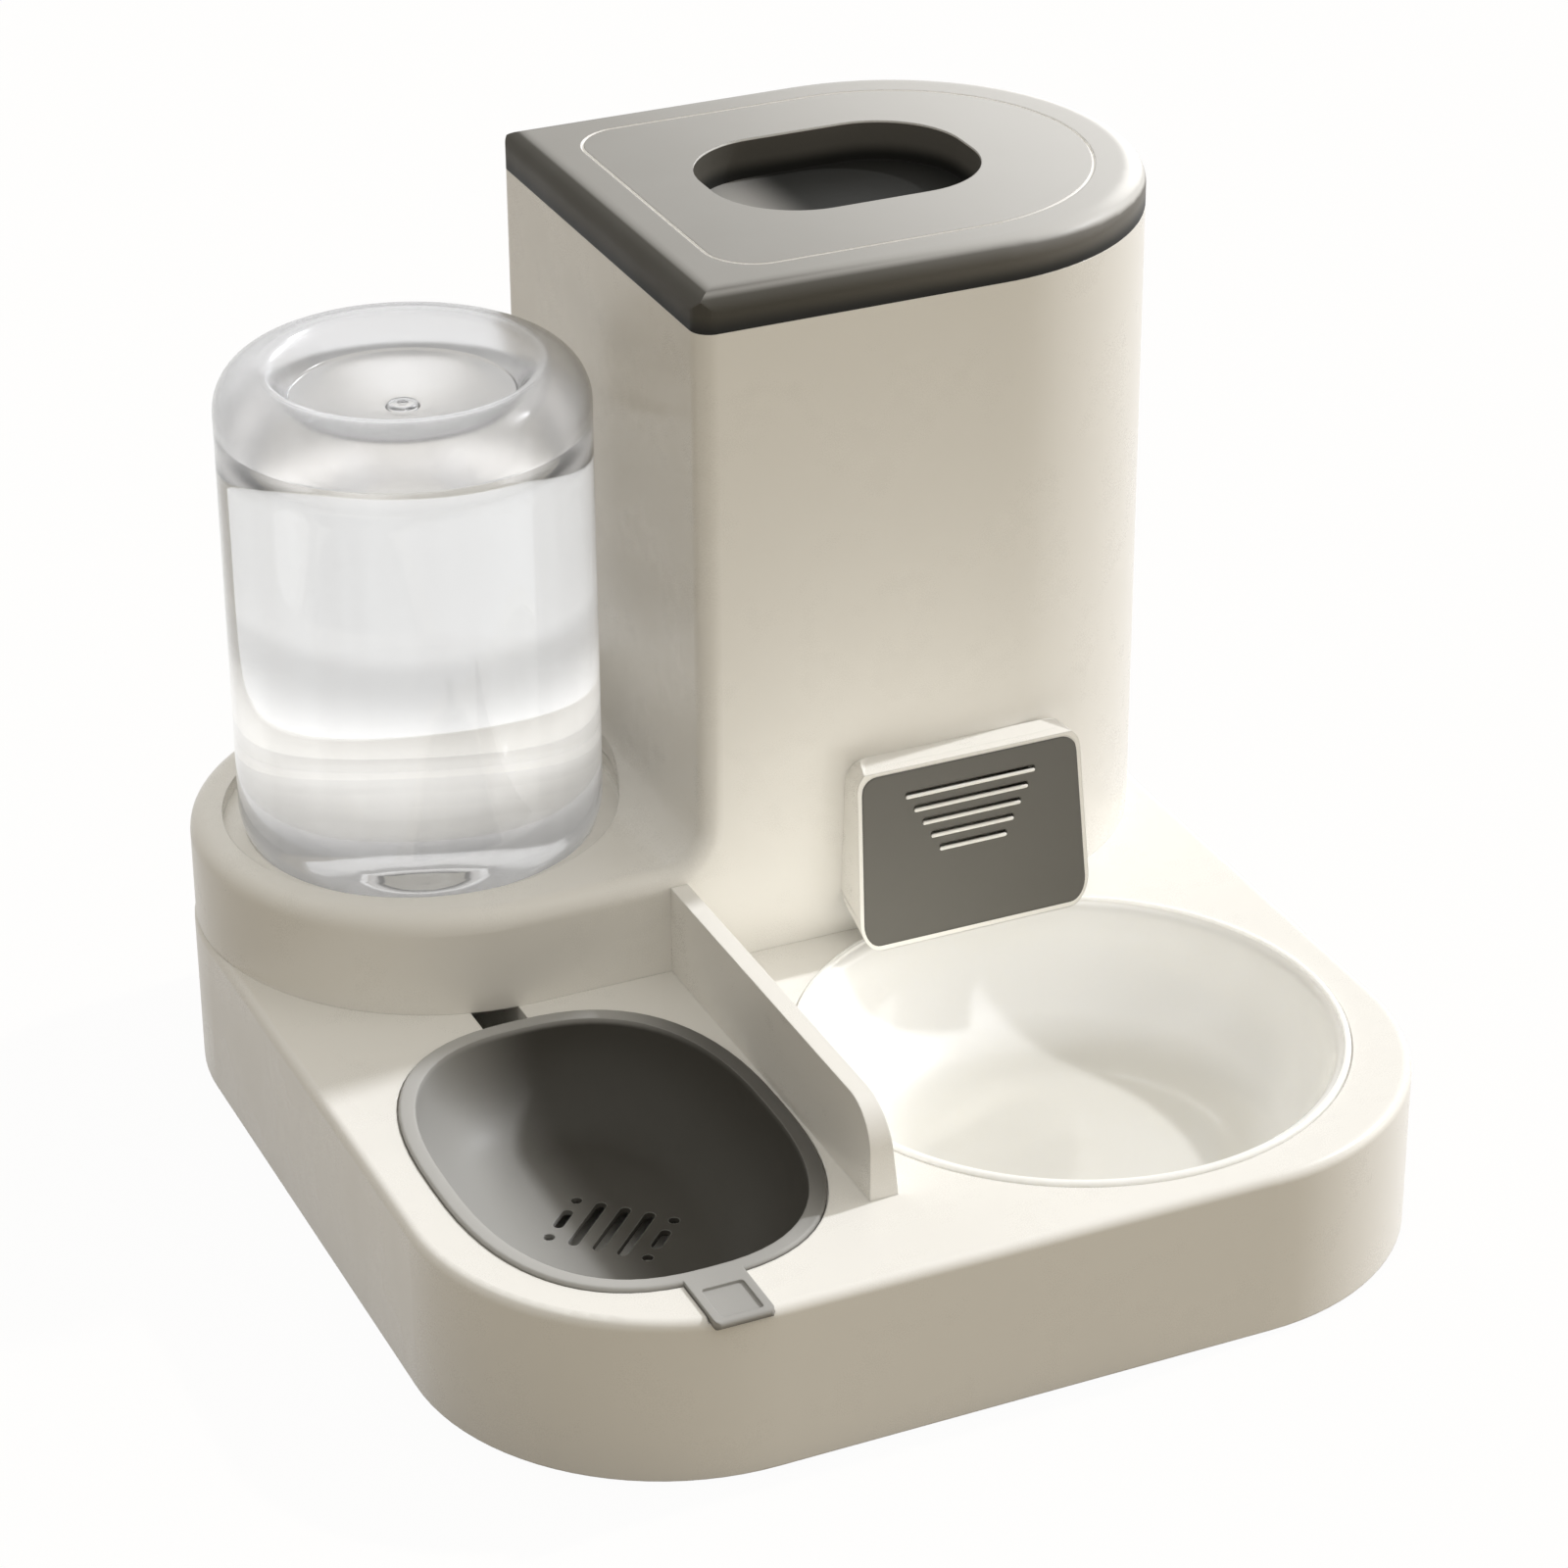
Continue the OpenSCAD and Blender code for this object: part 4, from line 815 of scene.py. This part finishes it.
def make_spring(sides=12, per_turn=40):
    """A round wire coil."""
    mesh = bmesh.new()
    steps = SPRING_TURNS * per_turn
    rise = SPRING_TOP - SPRING_FOOT - 2 * SPRING_WIRE
    rings = []
    for k in range(steps + 1):
        turn = 2 * math.pi * k / per_turn
        ring = []
        for a in angles_round(sides):
            r = (SPRING_RADIUS + SPRING_WIRE * math.cos(a)) * MM
            z = (SPRING_FOOT + SPRING_WIRE * (1 + math.sin(a)) + rise * k / steps) * MM
            place = (BOTTLE_AXIS[0] + r * math.cos(turn), BOTTLE_AXIS[1] + r * math.sin(turn), z)
            ring.append(mesh.verts.new(place))
        rings.append(ring)
    for low, high in zip(rings, rings[1:]):
        join_rings(mesh, low, high)
    mesh.faces.new(rings[0])
    mesh.faces.new(rings[-1][::-1])
    return finish_mesh("coil_spring", mesh)


# Chute hood: sizes in millimetres, as the frame's own hood has them

HOOD_X = 60.0
BIN_FRONT = 12.0
HOOD_FOOT = 60.0
HOOD_TOP = 109.0
HOOD_FOOT_OUT = 16.7
HOOD_TOP_OUT = 10.7
HOOD_FACE_RISE = 47.5
HOOD_LEAN = math.atan((HOOD_FOOT_OUT - HOOD_TOP_OUT) / HOOD_FACE_RISE)
PLATE_TOP_UP = 46.18
SLOT_COUNT = 5
SLOT_FIRST_IN = 7.0
SLOT_PITCH = 4.6
SLOT_WIDTH = 41.0
SLOT_STEP = 4.9
SLOT_HEIGHT = 1.7
LAST_SLOT = HOOD_TOP - SLOT_FIRST_IN - SLOT_PITCH * SLOT_COUNT

# How the hood is drawn down to the bowl, and how its plate grows

FOOT_DROP = 6.6
TOP_RISE = 1.7
WIDER = 0.035
WIDENS_WITHIN = 3.0
PLATE_LIFT = 0.8
PLATE_SIDE_GROWTH = 0.6
PLATE_TOP_GROWTH = 0.8
PLATE_FOOT_GROWTH = 0.6
PLATE_SIDE = (24.0, 27.0)
PLATE_TOP = (101.5, 102.5)
PLATE_FOOT = 70.0
PLATE_FOOT_DEPTH = 3.0


def drawn_to_bowl(x, y, z):
    """Where a point of the frame's hood goes when its foot comes down to the bowl's rim."""
    out = share_between(BIN_FRONT - y, 0.0, HOOD_FOOT_OUT)
    beside = share_between(BIN_FRONT - y, 0.0, WIDENS_WITHIN)
    low = share_between(LAST_SLOT - z, 0.0, LAST_SLOT - HOOD_FOOT) * out
    x += WIDER * (x - HOOD_X) * beside
    y -= FOOT_DROP * low * math.sin(HOOD_LEAN)
    z += TOP_RISE * (1 - low) * beside - FOOT_DROP * low
    return x, y, z


def grown_plate(x, y, z):
    """Where a point of the plate goes, to leave a narrow frame of the hood's face round it."""
    y -= PLATE_LIFT
    x += PLATE_SIDE_GROWTH * math.copysign(share_between(abs(x - HOOD_X), *PLATE_SIDE), x - HOOD_X)
    z += (PLATE_TOP_GROWTH * share_between(z, *PLATE_TOP)
          - PLATE_FOOT_GROWTH * share_between(PLATE_FOOT - z, 0.0, PLATE_FOOT_DEPTH))
    return x, y, z


def make_drawn_copy(node, name, grow=None):
    """A copy of the frame's hood or plate, drawn down to the bowl."""
    data = frame["nodes"][node].data.copy()
    data.name = name
    for vertex in data.vertices:
        place = [c / MM for c in vertex.co]
        if grow:
            place = grow(*place)
        vertex.co = [c * MM for c in drawn_to_bowl(*place)]
    return link_object(name, data)


# Slot lips

LIP_RADIUS = 0.6
LIP_END_STEPS = 4
LIP_TIP_RADIUS = 0.001


def on_hood_face(x, up, out):
    """A point given across, up and out of the hood's front face."""
    y = BIN_FRONT - HOOD_FOOT_OUT + up * math.sin(HOOD_LEAN) - out * math.cos(HOOD_LEAN)
    z = HOOD_FOOT + up * math.cos(HOOD_LEAN) + out * math.sin(HOOD_LEAN)
    return Vector(drawn_to_bowl(x, y, z)) * MM


def make_slot_lips(sides=12):
    """A rounded cream lip along the lower edge of each slot, with ball ends."""
    mesh = bmesh.new()
    for i in range(SLOT_COUNT):
        up = PLATE_TOP_UP - SLOT_FIRST_IN - i * SLOT_PITCH - SLOT_HEIGHT / 2
        half = (SLOT_WIDTH - i * SLOT_STEP) / 2 - LIP_RADIUS
        stations = [(-half - LIP_RADIUS * math.cos(a), max(LIP_RADIUS * math.sin(a), LIP_TIP_RADIUS))
                    for a in quarter_turn(LIP_END_STEPS)]
        stations += [(-x, r) for x, r in reversed(stations)]
        rings = [[mesh.verts.new(on_hood_face(HOOD_X + x, up + r * math.cos(a), r * math.sin(a)))
                  for a in angles_round(sides)] for x, r in stations]
        for low, high in zip(rings, rings[1:]):
            join_rings(mesh, low, high)
        mesh.faces.new(rings[0][::-1])
        mesh.faces.new(rings[-1])
    return finish_mesh("slot_lips", mesh)


# Light

SUN_FROM = Vector((0.75, 0.079, 0.656))
SUN_STRENGTH = 2.08
SUN_COLOUR = (0.945, 0.96, 1.0)
SUN_SIZE = 2.5
SIDE_FROM = Vector((0.97, -0.2, 0.1))
SIDE_STRENGTH = 0.55
SIDE_COLOUR = (1.0, 0.99, 0.97)
SIDE_SIZE = 40.0
BOUNCE_PLACE = (0.035, -0.075, 0.06)
BOUNCE_FROM = Vector((0.3, -0.8, -0.45))
BOUNCE_WIDTH = 0.09
BOUNCE_WATTS = 0.026
BOUNCE_COLOUR = (1.0, 0.98, 0.92)
SKY_HIGH = (0.87, 0.85, 0.80, 1)
SKY_LOW = (0.35, 0.298, 0.215, 1)
SKY_LEFT = 0.6
SKY_RIGHT = 1.3
WHITE = (1, 1, 1, 1)


def seen_directly(tree):
    """1 for rays that the camera, a reflection or a clear piece sends, and 0 for soft light."""
    path = put(tree, "LightPath").outputs
    mirror = either(tree, path["Is Glossy Ray"], path["Is Transmission Ray"])
    return math_node(tree, "MAXIMUM", path["Is Camera Ray"], mirror, clamp=True)


def make_world():
    """A soft sky, brighter above and on the right, and plain white where it is seen."""
    world = bpy.data.worlds.new("white studio")
    bpy.context.scene.world = world
    world.use_nodes = True
    tree = world.node_tree
    tree.nodes.clear()
    toward = split(tree, put(tree, "TexCoord").outputs["Generated"])
    rise = math_node(tree, "MAXIMUM", toward["Z"], 0.0, clamp=True)
    side = map_range(tree, toward["X"], (-1.0, 1.0), (SKY_LEFT, SKY_RIGHT))
    sky = blend_colour(tree, rise, SKY_LOW, SKY_HIGH)
    soft = put(tree, "Background", {"Color": sky, "Strength": side})
    plain = put(tree, "Background", {"Color": WHITE, "Strength": 1.0})
    mix = put(tree, "MixShader", {0: seen_directly(tree), 1: soft.outputs[0], 2: plain.outputs[0]})
    put(tree, "OutputWorld", {"Surface": mix.outputs[0]})


def make_sun(name, toward, strength, colour, size):
    data = bpy.data.lights.new(name, "SUN")
    data.energy = strength
    data.color = colour
    data.angle = math.radians(size)
    sun = link_object(name, data)
    sun.rotation_euler = toward.to_track_quat("Z", "Y").to_euler()


def make_bowl_bounce():
    """A small soft lamp over the food bowl, which sends its white light back onto the bin's foot."""
    data = bpy.data.lights.new("bowl bounce", "AREA")
    data.shape = "DISK"
    data.size = BOUNCE_WIDTH
    data.energy = BOUNCE_WATTS
    data.color = BOUNCE_COLOUR
    lamp = link_object("bowl bounce", data)
    lamp.location = BOUNCE_PLACE
    lamp.rotation_euler = BOUNCE_FROM.to_track_quat("Z", "Y").to_euler()
    lamp.visible_camera = False
    lamp.visible_glossy = False
    lamp.visible_transmission = False


# Floor

FLOOR_HALF_WIDTH = 6.0
FLOOR_BOUNCE = (0.31, 0.265, 0.19, 1)
FLOOR_GLOW = 1.07
FLOOR_GLOW_SHARE = 0.9


def make_floor():
    """White where it is seen, with the object's shadow, and warm in the light it sends back."""
    mesh = bmesh.new()
    bmesh.ops.create_grid(mesh, x_segments=1, y_segments=1, size=FLOOR_HALF_WIDTH)
    data = bpy.data.meshes.new("floor")
    mesh.to_mesh(data)
    mesh.free()
    floor = link_object("floor", data)
    material = bpy.data.materials.new("white floor")
    material.use_nodes = True
    tree = material.node_tree
    tree.nodes.clear()
    plain = put(tree, "BsdfDiffuse", {"Color": FLOOR_BOUNCE})
    glow = put(tree, "Emission", {"Color": WHITE, "Strength": FLOOR_GLOW})
    share = both(tree, seen_directly(tree), FLOOR_GLOW_SHARE)
    mix = put(tree, "MixShader", {0: share, 1: plain.outputs[0], 2: glow.outputs[0]})
    put(tree, "OutputMaterial", {"Surface": mix.outputs[0]})
    wear(floor, material)


# Making

make_camera()
make_world()
make_sun("high light", SUN_FROM, SUN_STRENGTH, SUN_COLOUR, SUN_SIZE)
make_sun("side light", SIDE_FROM, SIDE_STRENGTH, SIDE_COLOUR, SIDE_SIZE)
make_bowl_bounce()
make_floor()

materials = make_materials()
for part in frame["record"]["subparts"]:
    wear(frame["nodes"][part["node"]], materials[part["material_slot"]])
smooth_shading(frame["nodes"]["water_bowl"], degrees=35)
smooth_shading(frame["nodes"]["lid"], degrees=25)

bottle = make_bottle()
wear(bottle, materials["bottle_clear"])
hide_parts("bottle")
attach(bottle, "root")

hood = make_drawn_copy("chute_hood", "hood_shell")
wear(hood, materials["cream_plastic"])
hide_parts("chute_hood")
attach(hood, "root")

hood_plate = make_drawn_copy("chute_panel", "hood_plate", grown_plate)
wear(hood_plate, materials["panel_plastic"])
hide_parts("chute_panel")
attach(hood_plate, "root")

slot_lips = make_slot_lips()
wear(slot_lips, materials["cream_plastic"])
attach(slot_lips, "root")

food_bowl = make_food_bowl()
wear(food_bowl, materials["food_bowl_plastic"])
smooth_shading(food_bowl, degrees=35)
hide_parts("food_bowl")
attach(food_bowl, "root")

spring = make_spring()
wear(spring, materials["spring_steel"])
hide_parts("valve_spring")
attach(spring, "root")
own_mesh(spring)

bottle_water = make_bottle_water()
wear(bottle_water, make_water())
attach(bottle_water, "root")

bpy.context.scene.view_settings.view_transform = "Standard"
